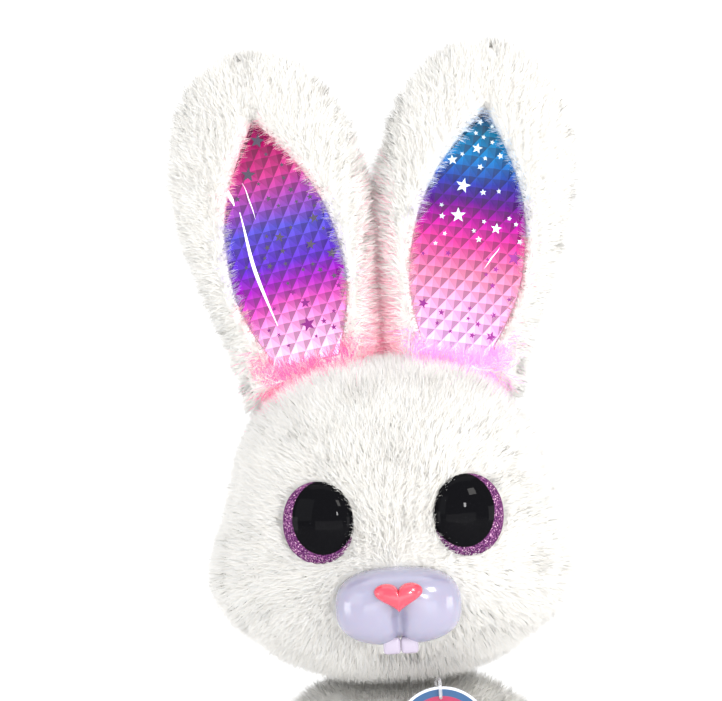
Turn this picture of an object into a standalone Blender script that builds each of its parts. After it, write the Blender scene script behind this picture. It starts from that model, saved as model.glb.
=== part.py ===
"""Interactive plush pet: a sitting rabbit whose ears light up and rock.

The pet faces -Y and stands on z = 0. Left and right are the pet's own, so its left is +X.
The origin is the middle of the base plate's underside, on the axis that the head turns about.
"""

import math

import bmesh
import bpy
from mathutils import Matrix, Vector

MM = 0.001
GAP = 0.3 * MM                     # between pieces that touch
PLUSH = 7.5 * MM                   # backing and pile together

# Body
BODY_HEIGHT = 107 * MM
BODY_HALF_WIDTH = 65 * MM
BODY_BELLY = 32 * MM               # height of the widest place
BODY_POWER = 2.6
BODY_FLAT = 0.9                    # depth over width, for everything turned in the body
BASE_NARROWING = 0.06              # how much the body draws in from the belly to the base
LIMB_SINK = 4 * MM                 # how far a limb's end would reach into the body form

# Base and battery bay
PLATE_HALF_WIDTH = 56 * MM
PLATE_THICK = 3 * MM
BATTERY_RADIUS = 5.25 * MM
BATTERY_LENGTH = 44.5 * MM
BATTERY_PLAY = 0.5 * MM             # between two batteries
BATTERY_COUNT = 3
BAY_REAR = 38.5 * MM                # the bay's outer rear face, behind the middle
BAY_WALL = 1.5 * MM
CONTACT_THICK = 0.5 * MM
CONTACT_ROOM = 1.75 * MM           # from a battery's end to the bay's end wall
DOOR_LEDGE = 2.2 * MM
DOOR_THICK = 1.7 * MM
DOOR_LIFT = 0.3 * MM               # the door's underside above the surface that the pet stands on
SWITCH_Y = -30 * MM
SWITCH_TRAVEL = 4 * MM
SCREW_RADIUS = 1.4 * MM
SCREW_HEAD = 2.8 * MM
BASE_SCREW_X = 44 * MM
BASE_SCREW_Y = -10 * MM

# Housing inside the body, and the neck
HOUSING_HALF_WIDTH = 54 * MM
HOUSING_HEIGHT = 91 * MM
HOUSING_POWER = 1.5
HOUSING_TOP = 82 * MM              # where its tip is cut flat for the neck post
HOUSING_WALL = 2 * MM
NECK_RADIUS = 12 * MM
NECK_BORE = 8 * MM
NECK_FLANGE = 16 * MM
NECK_GAP = 1 * MM                  # between the body form's top and the head form's bottom
NECK_OPENING = 22 * MM
COLLAR_WALL = 3.4 * MM

# Head
HEAD_HALF_WIDTH = 60 * MM
HEAD_HALF_DEPTH = 57 * MM
HEAD_HALF_HEIGHT = 60 * MM
HEAD_POWER = 2.5
CHEEK_SWELL = 0.19                 # extra width at the cheeks, as a share
CHEEK_DROP = 25 * MM               # below the head's middle
CHEEK_SPREAD = 24 * MM
SHELL_HALF = (48 * MM, 42 * MM, 44 * MM)
SHELL_WALL = 2.2 * MM

# Eyes
EYE_X = 26.8 * MM
EYE_RISE = 3.5 * MM                # above the head's middle
EYE_YAW = math.radians(16)
EYE_HALF_WIDTH = 13.2 * MM
EYE_HALF_HEIGHT = 14.7 * MM
EYE_DOME = 7.5 * MM
EYE_SEAT = 4 * MM                  # depth of the iris below the plush surface
EYE_STEM = 3 * MM
EYE_STEM_LENGTH = 12 * MM
WASHER_RADIUS = 9 * MM

# Muzzle, nose and teeth
MUZZLE_DROP = 27 * MM              # below the head's middle
MUZZLE_HALF = (22.5 * MM, 14.5 * MM, 13.6 * MM)
MUZZLE_CLEFT = 0.3                 # depth of the groove between its lobes, as a share
MUZZLE_CLEFT_WIDTH = 4 * MM
MUZZLE_STAND = 1 * MM              # how far the lobes' middles stand before the head's surface
MUZZLE_BOSS = 11 * MM
NOSE_WIDTH = 17 * MM
NOSE_RISE = 4.5 * MM               # above the muzzle's middle
NOSE_THICK = 7 * MM
NOSE_PROUD = 3.4 * MM              # before the lobes' front
NOSE_TRAVEL = 2 * MM
NOSE_STEM = 2.5 * MM
TOOTH_WIDTH = 6.4 * MM
TOOTH_HEIGHT = 8.5 * MM
TOOTH_THICK = 3 * MM

# Ears
EAR_BASE_X = 27.5 * MM
EAR_DROP = 6 * MM                  # the ear's own zero height below the head's top
EAR_LEAN = math.radians(10)
EAR_LENGTH = 133 * MM
EAR_HALF_WIDTH = 37 * MM
EAR_WIDEST = 76 * MM
EAR_BASE_HALF = 24 * MM
EAR_HALF_DEPTH = 12 * MM
EAR_BASE_DEPTH = 0.8               # depth at the base over depth higher up
EAR_ROUNDING = 11 * MM
EAR_GAP = 1.2 * MM                 # from the head at the end of a rocking ear's swing
EAR_ROCK = math.radians(10)
WINDOW_LOW = 9 * MM
WINDOW_HIGH = 106 * MM
WINDOW_HALF = 22 * MM
WINDOW_WIDEST = 0.36               # share of its height
WINDOW_FOOT = 0.55                 # half width at its foot, as a share
WINDOW_Y = -8.2 * MM
FILM_THICK = 0.8 * MM
DIFFUSER_THICK = 2.6 * MM
BOARD_THICK = 1.6 * MM
TRAY_WALL = 1.6 * MM
TRAY_BACK = 3 * MM
LEVER_HALF = (4.2 * MM, 2.5 * MM)

# Ear drive
PIVOT_DROP = 36 * MM               # the ears' axis below the head's top
SHAFT_RADIUS = 3 * MM
GEAR_MODULE = 1 * MM
SECTOR_TEETH = 30
SECTOR_TEETH_CUT = 5
PINION_TEETH = 10
PRESSURE_ANGLE = math.radians(25)
ADDENDUM = 0.8                     # in modules
DEDENDUM = 1.1
TOOTH_PLAY = 0.1 * MM              # taken off each flank
GEAR_WIDTH = 4 * MM
SHAFT_START = 1.5 * MM             # inner end of each ear's shaft, from the middle
LUG_INNER = 8 * MM
LUG_OUTER = 28 * MM
LUG_WIDTH = 3 * MM
LUG_WALL = 2.3 * MM
HUB_RADIUS = 6 * MM
HUB_HALF = 3.5 * MM
BRACKET_Y = 11.5 * MM
BRACKET_THICK = 2 * MM
MOTOR_RADIUS = 9.5 * MM
MOTOR_LENGTH = 23 * MM
MOTOR_FACE = 12 * MM

# Hang tag
TAG_RADIUS = 17 * MM
TAG_THICK = 0.8 * MM
TAG_X = 13 * MM
TAG_HOLE = 1.5 * MM
TAG_HOLE_INSET = 4 * MM
TAG_LOOP_RADIUS = 0.6 * MM

HEAD_Z = BODY_HEIGHT + NECK_GAP + HEAD_HALF_HEIGHT
HEAD_TOP = HEAD_Z + HEAD_HALF_HEIGHT
HEAD_BOTTOM = HEAD_Z - HEAD_HALF_HEIGHT
PIVOT_Z = HEAD_TOP - PIVOT_DROP
GEAR_SPREAD = GEAR_MODULE * (SECTOR_TEETH + PINION_TEETH) / 2
PINION_Z = PIVOT_Z - GEAR_SPREAD
SHELL_BOTTOM = HEAD_Z - SHELL_HALF[2]
COLLAR_BOTTOM = SHELL_BOTTOM - 0.6 * MM
COLLAR_TOP = SHELL_BOTTOM + 10 * MM
RETAINER_HEIGHT = 3 * MM
NECK_TOP = COLLAR_TOP + RETAINER_HEIGHT + 2 * MM
MUZZLE_Z = HEAD_Z - MUZZLE_DROP
MUZZLE_SEAT = (MUZZLE_HALF[0] + 2 * MM, MUZZLE_HALF[2] + 1.7 * MM)
SIDES = (("left", 1), ("right", -1))


# ---------------------------------------------------------------- helpers

def empty_scene():
    for obj in list(bpy.data.objects):
        bpy.data.objects.remove(obj, do_unlink=True)


def new_collection(name):
    collection = bpy.data.collections.new(name)
    bpy.context.scene.collection.children.link(collection)
    return collection


empty_scene()
PARTS = new_collection("interactive_plush_pet")
CUTTERS = new_collection("cutters")


def material(name, colour, roughness, metallic=0.0, **sockets):
    mat = bpy.data.materials.new(name)
    mat.use_nodes = True
    shader = mat.node_tree.nodes["Principled BSDF"]
    shader.inputs["Base Color"].default_value = (*colour, 1)
    shader.inputs["Roughness"].default_value = roughness
    shader.inputs["Metallic"].default_value = metallic
    for socket, value in sockets.items():
        shader.inputs[socket].default_value = value
    mat.diffuse_color = (*colour, 1)
    return mat


FUR = material("white_plush", (0.86, 0.84, 0.82), 0.95)
FILL = material("polyester_fill", (0.9, 0.9, 0.9), 1.0)
ABS = material("white_plastic", (0.8, 0.8, 0.8), 0.45)
GLOSS_WHITE = material("gloss_white_plastic", (0.83, 0.79, 0.87), 0.15)
GLOSS_PINK = material("gloss_pink_plastic", (0.85, 0.2, 0.24), 0.15)
DARK = material("black_plastic", (0.02, 0.02, 0.02), 0.3)
GLITTER = material("glitter_plastic", (0.45, 0.25, 0.42), 0.25, 0.5)
CLEAR = material("clear_plastic", (0.9, 0.9, 0.95), 0.05)
GLOW = material("light_diffuser", (0.75, 0.3, 0.7), 0.4)
BOARD = material("circuit_board", (0.03, 0.2, 0.08), 0.5)
STEEL = material("steel", (0.6, 0.6, 0.6), 0.3, 1.0)
CELL = material("battery_wrap", (0.1, 0.1, 0.12), 0.35)
GEAR = material("gear_plastic", (0.85, 0.84, 0.78), 0.4)
CARD = material("printed_card", (0.3, 0.35, 0.75), 0.5)


def place(name, mesh, mat, matrix=None):
    obj = bpy.data.objects.new(name, mesh)
    PARTS.objects.link(obj)
    if mat:
        mesh.materials.clear()
        mesh.materials.append(mat)
    if matrix is not None:
        obj.matrix_world = matrix
    return obj


def place_bmesh(name, bm, mat, matrix=None, smooth=True):
    mesh = bpy.data.meshes.new(name)
    bm.to_mesh(mesh)
    bm.free()
    if smooth:
        mesh.shade_smooth()
        mesh.set_sharp_from_angle(angle=math.radians(35))
    return place(name, mesh, mat, matrix)


def as_cutter(obj):
    PARTS.objects.unlink(obj)
    CUTTERS.objects.link(obj)
    obj.hide_render = True
    obj.display_type = "WIRE"
    return obj


def combine(obj, operation, tools, solver="EXACT"):
    for tool in tools:
        if tool.name not in CUTTERS.objects:
            as_cutter(tool)
        boolean = obj.modifiers.new(operation.lower(), "BOOLEAN")
        boolean.operation = operation
        boolean.solver = solver
        boolean.object = tool
    return obj


def cut(obj, *tools, solver="EXACT"):
    return combine(obj, "DIFFERENCE", tools, solver)


def join(obj, *tools):
    return combine(obj, "UNION", tools)


def mirrored(name, source, mat):
    """A finished copy of source on the other side of the X = 0 plane."""
    bpy.context.view_layer.update()
    finished = source.evaluated_get(bpy.context.evaluated_depsgraph_get())
    mesh = bpy.data.meshes.new_from_object(finished)
    mesh.transform(Matrix.Scale(-1, 4, (1, 0, 0)) @ source.matrix_world)
    mesh.flip_normals()
    return place(name, mesh, mat)


def box(name, low, high, mat=None, bevel=0.0, matrix=None):
    bm = bmesh.new()
    bmesh.ops.create_cube(bm, size=1)
    low, high = Vector(low), Vector(high)
    for vert in bm.verts:
        vert.co = Vector((low[i] + (vert.co[i] + 0.5) * (high[i] - low[i])) for i in range(3))
    obj = place_bmesh(name, bm, mat, matrix, smooth=False)
    if bevel:
        rounding = obj.modifiers.new("rounding", "BEVEL")
        rounding.width = bevel
        rounding.segments = 2
    return obj


def rod(name, start, end, radius, mat=None, sides=18, end_radius=None, matrix=None, flat=1.0):
    """A cylinder or cone from start to end; flat squeezes it along its second cross axis."""
    start, end = Vector(start), Vector(end)
    axis = end - start
    top = radius if end_radius is None else end_radius
    bm = bmesh.new()
    bmesh.ops.create_cone(
        bm, cap_ends=True, segments=sides, radius1=radius, radius2=top, depth=axis.length
    )
    turn = axis.to_track_quat("Z", "Y").to_matrix().to_4x4()
    squeeze = Matrix.Diagonal((1, flat, 1, 1))
    bm.transform(Matrix.Translation((start + end) / 2) @ turn @ squeeze)
    return place_bmesh(name, bm, mat, matrix)


def ball(name, centre, half, mat=None, power=2.0, segments=24, rings=14, matrix=None, shape=None):
    """An ellipsoid, squarer as power grows; shape may move each finished point."""
    bm = bmesh.new()
    bmesh.ops.create_uvsphere(bm, u_segments=segments, v_segments=rings, radius=1)
    for vert in bm.verts:
        reach = sum(abs(c) ** power for c in vert.co) ** (-1 / power)
        point = Vector(c * reach * h for c, h in zip(vert.co, half))
        vert.co = (shape(point) if shape else point) + Vector(centre)
    return place_bmesh(name, bm, mat, matrix)


def turned(name, profile, mat=None, flat=1.0, steps=24, matrix=None):
    """A profile of (radius, height) points, listed down its outer side, turned about Z."""
    mesh = bpy.data.meshes.new(name)
    points = [(radius, 0, height) for radius, height in profile]
    mesh.from_pydata(points, [(i, i + 1) for i in range(len(points) - 1)], [])
    squeeze = Matrix.Diagonal((1, flat, 1, 1))
    obj = place(name, mesh, mat, squeeze if matrix is None else matrix @ squeeze)
    screw = obj.modifiers.new("turn", "SCREW")
    screw.steps = steps
    screw.render_steps = steps
    screw.use_merge_vertices = True
    screw.merge_threshold = 0.00001
    screw.use_smooth_shade = True
    return obj


def ring(name, outer, inner, low, high, mat=None, flat=1.0, steps=20):
    profile = [(inner, high), (outer, high), (outer, low), (inner, low), (inner, high)]
    return turned(name, profile, mat, flat, steps)


def mesh_of(curve_obj, name, mat, matrix=None):
    """The curve's mesh with its caps welded on, in place of the curve."""
    bpy.context.view_layer.update()
    graph = bpy.context.evaluated_depsgraph_get()
    mesh = bpy.data.meshes.new_from_object(curve_obj.evaluated_get(graph))
    world = curve_obj.matrix_world.copy() if matrix is None else matrix
    curve = curve_obj.data
    bpy.data.objects.remove(curve_obj, do_unlink=True)
    bpy.data.curves.remove(curve)
    bm = bmesh.new()
    bm.from_mesh(mesh)
    bmesh.ops.remove_doubles(bm, verts=bm.verts, dist=0.000002)
    bmesh.ops.recalc_face_normals(bm, faces=bm.faces)
    bm.to_mesh(mesh)
    bm.free()
    return place(name, mesh, mat, world)


def plate(name, outline, low, high, mat=None, matrix=None):
    """A flat outline of (x, z) points made solid from y = low to y = high."""
    curve = bpy.data.curves.new(name, "CURVE")
    curve.dimensions = "2D"
    curve.fill_mode = "BOTH"
    curve.extrude = (high - low) / 2
    spline = curve.splines.new("POLY")
    spline.points.add(len(outline) - 1)
    for point, (x, z) in zip(spline.points, outline):
        point.co = (x, z, 0, 1)
    spline.use_cyclic_u = True
    obj = bpy.data.objects.new(name, curve)
    PARTS.objects.link(obj)
    upright = Matrix.Translation((0, (low + high) / 2, 0)) @ Matrix.Rotation(math.pi / 2, 4, "X")
    return mesh_of(obj, name, mat, upright if matrix is None else matrix @ upright)


def tube(name, points, radius, mat, cyclic=False):
    curve = bpy.data.curves.new(name, "CURVE")
    curve.dimensions = "3D"
    curve.bevel_depth = radius
    curve.bevel_resolution = 1
    curve.use_fill_caps = True
    spline = curve.splines.new("POLY")
    spline.points.add(len(points) - 1)
    for point, co in zip(spline.points, points):
        point.co = (*co, 1)
    spline.use_cyclic_u = cyclic
    obj = bpy.data.objects.new(name, curve)
    PARTS.objects.link(obj)
    return mesh_of(obj, name, mat)


# ---------------------------------------------------------------- shared forms

def egg_profile(radius, height, belly, power, narrowing, floor, steps=7):
    """Half outline of a turned body, from its top down to its base and in to the axis."""
    points = []
    for i in range(steps + 1):
        turn = math.pi / 2 * i / steps
        points.append((radius * math.sin(turn) ** (2 / power), belly + (height - belly)
                       * math.cos(turn) ** (2 / power)))
    points[0] = (0, height)
    for i in (1, 2):
        drop = i / 2
        points.append((radius * (1 - narrowing * drop ** 2), belly + (floor - belly) * drop))
    return points + [(0, floor)]


def body_form(name, offset, floor, mat=None):
    profile = egg_profile(BODY_HALF_WIDTH + offset, BODY_HEIGHT + offset, BODY_BELLY,
                          BODY_POWER, BASE_NARROWING, floor)
    return turned(name, profile, mat, BODY_FLAT)


def housing_form(name, offset, floor, mat=None):
    profile = egg_profile(HOUSING_HALF_WIDTH + offset, HOUSING_HEIGHT + offset,
                          PLATE_THICK + GAP + 4 * MM, HOUSING_POWER, 0, floor, steps=5)
    return turned(name, profile, mat, BODY_FLAT)


def swell_cheeks(point):
    rise = (point.z + CHEEK_DROP) / CHEEK_SPREAD
    return Vector((point.x * (1 + CHEEK_SWELL * math.exp(-rise * rise)), point.y, point.z))


def head_form(name, offset, mat=None, segments=22, rings=12):
    half = (HEAD_HALF_WIDTH + offset, HEAD_HALF_DEPTH + offset, HEAD_HALF_HEIGHT + offset)
    return ball(name, (0, 0, HEAD_Z), half, mat, HEAD_POWER, segments, rings, shape=swell_cheeks)


def shell_form(name, offset, mat=None):
    half = tuple(side + offset for side in SHELL_HALF)
    return ball(name, (0, 0, HEAD_Z), half, mat, 2.0, 20, 12)


def head_front(x, z):
    """The head form's front surface (negative y) above point (x, z)."""
    rise = z - HEAD_Z
    cheek = swell_cheeks(Vector((1, 0, rise))).x
    rest = 1 - abs(x / (HEAD_HALF_WIDTH * cheek)) ** HEAD_POWER
    rest -= abs(rise / HEAD_HALF_HEIGHT) ** HEAD_POWER
    return -HEAD_HALF_DEPTH * max(rest, 0) ** (1 / HEAD_POWER)


def body_front(z, offset=0.0):
    """The body form's front surface (negative y) at height z."""
    share = (z - BODY_BELLY) / (BODY_HEIGHT - BODY_BELLY)
    radius = BODY_HALF_WIDTH * (1 - abs(share) ** BODY_POWER) ** (1 / BODY_POWER)
    return -(radius + offset) * BODY_FLAT


# ---------------------------------------------------------------- base and battery bay

BAY_HALF_X = BATTERY_LENGTH / 2 + CONTACT_ROOM
BATTERY_PITCH = 2 * BATTERY_RADIUS + BATTERY_PLAY
BAY_HALF_Y = (BATTERY_PITCH * (BATTERY_COUNT - 1)) / 2 + BATTERY_RADIUS + 0.4 * MM
BAY_Y = BAY_REAR - BAY_WALL - BAY_HALF_Y
DOOR_HALF_X = BAY_HALF_X + DOOR_LEDGE
DOOR_HALF_Y = BAY_HALF_Y + DOOR_LEDGE
BATTERY_Z = PLATE_THICK + 0.8 * MM + BATTERY_RADIUS
BAY_TOP = BATTERY_Z + BATTERY_RADIUS + GAP
DOOR_SCREW_X = DOOR_HALF_X + 3.2 * MM
DOOR_TAB = 4.2 * MM
DOOR_TOP = DOOR_LIFT + DOOR_THICK


def make_base():
    base = rod("base_plate", (0, 0, 0), (0, 0, PLATE_THICK), PLATE_HALF_WIDTH, ABS, 36,
               flat=BODY_FLAT)
    low_x, low_y = BAY_HALF_X + BAY_WALL, BAY_HALF_Y + BAY_WALL
    walls = box("bay_walls", (-low_x, BAY_Y - low_y, PLATE_THICK / 2),
                (low_x, BAY_Y + low_y, BAY_TOP))
    boss = rod("door_boss", (DOOR_SCREW_X, BAY_Y, PLATE_THICK / 2),
               (DOOR_SCREW_X, BAY_Y, PLATE_THICK + 7 * MM), SCREW_RADIUS + 1.6 * MM, sides=16)
    join(base, walls, boss)
    bay = box("bay_room", (-BAY_HALF_X, BAY_Y - BAY_HALF_Y, -1 * MM),
              (BAY_HALF_X, BAY_Y + BAY_HALF_Y, BAY_TOP + 1 * MM))
    recess = box("door_recess", (-DOOR_HALF_X - GAP, BAY_Y - DOOR_HALF_Y - GAP, -1 * MM),
                 (DOOR_HALF_X + GAP, BAY_Y + DOOR_HALF_Y + GAP, DOOR_TOP + GAP))
    tab_room = rod("door_tab_room", (DOOR_SCREW_X, BAY_Y, -1 * MM),
                   (DOOR_SCREW_X, BAY_Y, DOOR_TOP + GAP), DOOR_TAB + GAP, sides=24)
    bore = rod("door_screw_bore", (DOOR_SCREW_X, BAY_Y, -1 * MM),
               (DOOR_SCREW_X, BAY_Y, PLATE_THICK + 9 * MM), SCREW_RADIUS + GAP, sides=12)
    half = SWITCH_TRAVEL / 2
    thumb = box("switch_recess", (-8 * MM, SWITCH_Y - 4 * MM, -1 * MM),
                (8 * MM, SWITCH_Y + 4 * MM, PLATE_THICK / 2))
    slot = box("switch_slot", (-half - 3.4 * MM, SWITCH_Y - 2.4 * MM, -1 * MM),
               (half + 3.4 * MM, SWITCH_Y + 2.4 * MM, PLATE_THICK + 1 * MM))
    cut(base, bay, recess, tab_room, bore, thumb, slot)
    for name, side in SIDES:
        spot = (side * BASE_SCREW_X, BASE_SCREW_Y)
        sink = rod(f"base_screw_sink_{name}", (*spot, -1 * MM), (*spot, 2.2 * MM),
                   SCREW_HEAD + GAP, sides=16)
        hole = rod(f"base_screw_hole_{name}", (*spot, -1 * MM), (*spot, PLATE_THICK + 1 * MM),
                   SCREW_RADIUS + GAP, sides=12)
        cut(base, sink, hole)


def make_screw(name, spot, head_low, head_high, tip):
    screw = rod(name, (*spot, head_low), (*spot, head_high), SCREW_HEAD, STEEL, 16)
    shank = rod(f"{name}_shank", (*spot, head_high - 0.5 * MM), (*spot, tip), SCREW_RADIUS,
                sides=12)
    across = [box(f"{name}_cross_{i}", (-0.4 * MM, -2 * MM, -1 * MM), (0.4 * MM, 2 * MM, 0.6 * MM),
                  matrix=Matrix.Translation((*spot, head_low)) @ Matrix.Rotation(turn, 4, "Z"))
              for i, turn in enumerate((0, math.pi / 2))]
    join(screw, shank)
    cut(screw, *across)


def make_battery_bay():
    door = box("battery_door", (-DOOR_HALF_X, BAY_Y - DOOR_HALF_Y, DOOR_LIFT),
               (DOOR_HALF_X, BAY_Y + DOOR_HALF_Y, DOOR_TOP), ABS)
    tab = rod("door_tab", (DOOR_SCREW_X, BAY_Y, DOOR_LIFT), (DOOR_SCREW_X, BAY_Y, DOOR_TOP),
              DOOR_TAB, sides=24)
    sink = rod("door_screw_sink", (DOOR_SCREW_X, BAY_Y, -1 * MM),
               (DOOR_SCREW_X, BAY_Y, DOOR_LIFT + 1 * MM), SCREW_HEAD + GAP, sides=16)
    hole = rod("door_screw_hole", (DOOR_SCREW_X, BAY_Y, -1 * MM),
               (DOOR_SCREW_X, BAY_Y, DOOR_TOP + 1 * MM), SCREW_RADIUS + GAP, sides=12)
    cut(join(door, tab), sink, hole)
    make_screw("door_screw", (DOOR_SCREW_X, BAY_Y), DOOR_LIFT + 0.1 * MM,
               DOOR_LIFT + 0.9 * MM, PLATE_THICK + 5 * MM)
    for i in range(BATTERY_COUNT):
        y = BAY_Y + (i - (BATTERY_COUNT - 1) / 2) * BATTERY_PITCH
        way = 1 if i % 2 else -1
        end = BATTERY_LENGTH / 2
        cell = rod(f"battery_{i + 1}", (-way * end, y, BATTERY_Z),
                   (way * (end - 1 * MM), y, BATTERY_Z), BATTERY_RADIUS, CELL, 20)
        nub = rod(f"battery_nub_{i + 1}", (way * (end - 2 * MM), y, BATTERY_Z),
                  (way * end, y, BATTERY_Z), 1.9 * MM, sides=12)
        join(cell, nub)
    for name, side in SIDES:
        inner = side * (BATTERY_LENGTH / 2 + GAP)
        outer = inner + side * CONTACT_THICK
        box(f"battery_contact_{name}",
            (min(inner, outer), BAY_Y - BAY_HALF_Y + GAP, PLATE_THICK + 1 * MM),
            (max(inner, outer), BAY_Y + BAY_HALF_Y - GAP, BAY_TOP - 1 * MM), STEEL)


def make_power_switch():
    x = -SWITCH_TRAVEL / 2
    switch = box("power_switch", (x - 3 * MM, SWITCH_Y - 2 * MM, 0.4 * MM),
                 (x + 3 * MM, SWITCH_Y + 2 * MM, PLATE_THICK + 1 * MM), DARK)
    slider = box("switch_slider", (x - 5 * MM, SWITCH_Y - 4 * MM, PLATE_THICK + GAP),
                 (x + 5 * MM, SWITCH_Y + 4 * MM, PLATE_THICK + GAP + 1.5 * MM))
    grips = [box(f"switch_grip_{i}", (x + i * 1.5 * MM - 0.3 * MM, SWITCH_Y - 3 * MM, 0),
                 (x + i * 1.5 * MM + 0.3 * MM, SWITCH_Y + 3 * MM, 0.8 * MM)) for i in (-1, 0, 1)]
    cut(join(switch, slider), *grips)


# ---------------------------------------------------------------- housing and electronics

def make_housing():
    floor = PLATE_THICK + GAP
    housing = housing_form("body_housing", 0, floor, ABS)
    room = housing_form("housing_room", -HOUSING_WALL, floor - 2 * MM)
    tip = box("housing_tip", (-30 * MM, -30 * MM, HOUSING_TOP), (30 * MM, 30 * MM, 100 * MM))
    room_roof = box("housing_room_roof", (-30 * MM, -30 * MM, HOUSING_TOP - HOUSING_WALL),
                    (30 * MM, 30 * MM, 100 * MM))
    cut(room, room_roof)
    cable_way = rod("neck_cable_way", (0, 0, HOUSING_TOP - 9 * MM), (0, 0, HOUSING_TOP + 5 * MM),
                    NECK_BORE - 1 * MM)
    cut(housing, tip, room, cable_way)
    for name, side in SIDES:
        spot = (side * BASE_SCREW_X, BASE_SCREW_Y)
        boss = rod(f"base_boss_{name}", (*spot, floor), (*spot, floor + 10 * MM),
                   SCREW_RADIUS + 1.8 * MM, sides=16)
        bore = rod(f"base_bore_{name}", (*spot, floor - 1 * MM), (*spot, floor + 9 * MM),
                   SCREW_RADIUS + GAP, sides=12)
        ends = sorted((side * BASE_SCREW_X, side * (HOUSING_HALF_WIDTH - 2.5 * MM)))
        web = box(f"base_web_{name}", (ends[0], BASE_SCREW_Y - 1 * MM, floor + 0.5 * MM),
                  (ends[1], BASE_SCREW_Y + 1 * MM, floor + 8 * MM))
        join(housing, boss, web)
        cut(housing, bore)
        make_screw(f"base_screw_{name}", spot, 0.6 * MM, 2 * MM, floor + 7 * MM)


def make_electronics():
    box("main_board", (-22 * MM, -8.8 * MM, 20 * MM), (22 * MM, -7.2 * MM, 56 * MM), BOARD)
    speaker = turned("speaker", [(0, 9 * MM), (7 * MM, 9 * MM), (7 * MM, 5 * MM),
                                 (12 * MM, 2.5 * MM), (14 * MM, 2 * MM), (14 * MM, 0),
                                 (12 * MM, 0), (5 * MM, 3 * MM), (0, 2 * MM)], DARK, steps=16)
    speaker.matrix_world = (Matrix.Translation((0, -26 * MM, 44 * MM))
                            @ Matrix.Rotation(-math.pi / 2, 4, "X"))


def make_neck():
    low = HOUSING_TOP + GAP
    turned("neck_post", [(NECK_BORE, NECK_TOP), (NECK_RADIUS, NECK_TOP),
                         (NECK_RADIUS, low + 2.5 * MM), (NECK_FLANGE, low + 2.5 * MM),
                         (NECK_FLANGE, low), (NECK_BORE, low), (NECK_BORE, NECK_TOP)], ABS,
           steps=20)
    inner = NECK_RADIUS + GAP
    outer = inner + COLLAR_WALL
    lip = COLLAR_BOTTOM + 2.4 * MM
    turned("neck_collar", [(inner, COLLAR_TOP), (outer, COLLAR_TOP), (outer, lip),
                           (outer + 5.5 * MM, lip), (outer + 5.5 * MM, COLLAR_BOTTOM),
                           (inner, COLLAR_BOTTOM), (inner, COLLAR_TOP)], GEAR, steps=20)
    ring("neck_retainer", outer - 0.6 * MM, inner, COLLAR_TOP + GAP,
         COLLAR_TOP + GAP + RETAINER_HEIGHT, STEEL)


# ---------------------------------------------------------------- soft body

def make_soft_body():
    skin = body_form("body_skin", 0, 0.6 * MM, FUR)
    room = body_form("body_room", -PLUSH, -2 * MM)
    plate_room = rod("plate_room", (0, 0, -2 * MM), (0, 0, PLATE_THICK + GAP),
                     PLATE_HALF_WIDTH + GAP, sides=36, flat=BODY_FLAT)
    neck_way = rod("neck_way", (0, 0, HOUSING_TOP - 5 * MM), (0, 0, BODY_HEIGHT + 9 * MM),
                   NECK_RADIUS + 1 * MM)
    cut(skin, room, plate_room, neck_way)
    fill = body_form("body_stuffing", -PLUSH - GAP, 10 * MM, FILL)
    housing_room = housing_form("housing_clear", GAP, 0)
    flange_room = rod("flange_room", (0, 0, HOUSING_TOP - 8 * MM), (0, 0, HOUSING_TOP + 4 * MM),
                      NECK_FLANGE + 1 * MM)
    cut(fill, housing_room, flange_room, neck_way)


def capsule(name, start, end, radius, mat, end_radius=None):
    """A limb: a ball stretched between two points, fuller towards its end."""
    start, end = Vector(start), Vector(end)
    axis = end - start
    far = end_radius or radius
    half = axis.length / 2 + (radius + far) / 2

    def fill_out(point):
        share = (point.z / half + 1) / 2
        swell = 1 + (far / radius - 1) * share
        return Vector((point.x * swell, point.y * swell, point.z))

    turn = axis.to_track_quat("Z", "Y").to_matrix().to_4x4()
    return ball(name, (0, 0, 0), (radius, radius, half), mat, 2.6, 16, 12,
                Matrix.Translation((start + end) / 2) @ turn, fill_out)


def make_limbs():
    clear = body_form("limb_clear", GAP, -2 * MM)
    shoulder_z = BODY_HEIGHT * 0.85
    paw_z = BODY_HEIGHT * 0.47
    paw_y = body_front(paw_z) - LIMB_SINK
    sole = 15 * MM
    foot_half = (19 * MM, 31 * MM, sole - 1 * MM)
    for name, side in SIDES:
        arm = capsule(f"{name}_arm", (side * BODY_HALF_WIDTH * 0.62, -14 * MM, shoulder_z),
                      (side * BODY_HALF_WIDTH * 0.6, paw_y, paw_z), 12 * MM, FUR, 14.5 * MM)
        cut(arm, clear)
        foot = ball(f"{name}_foot", (side * BODY_HALF_WIDTH * 0.6, -BODY_HALF_WIDTH * 0.93, sole),
                    foot_half, FUR, 2.4, 16, 12)
        cut(foot, clear)
    tail = ball("tail", (0, BODY_HALF_WIDTH * BODY_FLAT + 4 * MM, BODY_BELLY),
                (17 * MM, 16 * MM, 17 * MM), FUR, 2.0, 16, 10)
    cut(tail, clear)


# ---------------------------------------------------------------- head

def across_x(name, profile, mat=None, steps=24, at=(0, 0, 0)):
    """A turned piece whose axis runs along +X through the point at."""
    obj = turned(name, profile, mat, steps=steps)
    half_step = Matrix.Rotation(math.pi / steps, 4, "Z")
    obj.matrix_world = Matrix.Translation(at) @ Matrix.Rotation(math.pi / 2, 4, "Y") @ half_step
    return obj


def eye_matrix(side):
    x, z = side * EYE_X, HEAD_Z + EYE_RISE
    out = Vector((side * math.sin(EYE_YAW), -math.cos(EYE_YAW), 0))
    up = Vector((0, 0, 1))
    turn = Matrix((up.cross(out), up, out)).transposed().to_4x4()
    return Matrix.Translation((x, head_front(x, z), z)) @ turn


def ear_matrix(side):
    base = Matrix.Translation((side * EAR_BASE_X, 0, HEAD_TOP - EAR_DROP))
    return base @ Matrix.Rotation(side * EAR_LEAN, 4, "Y")


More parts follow.
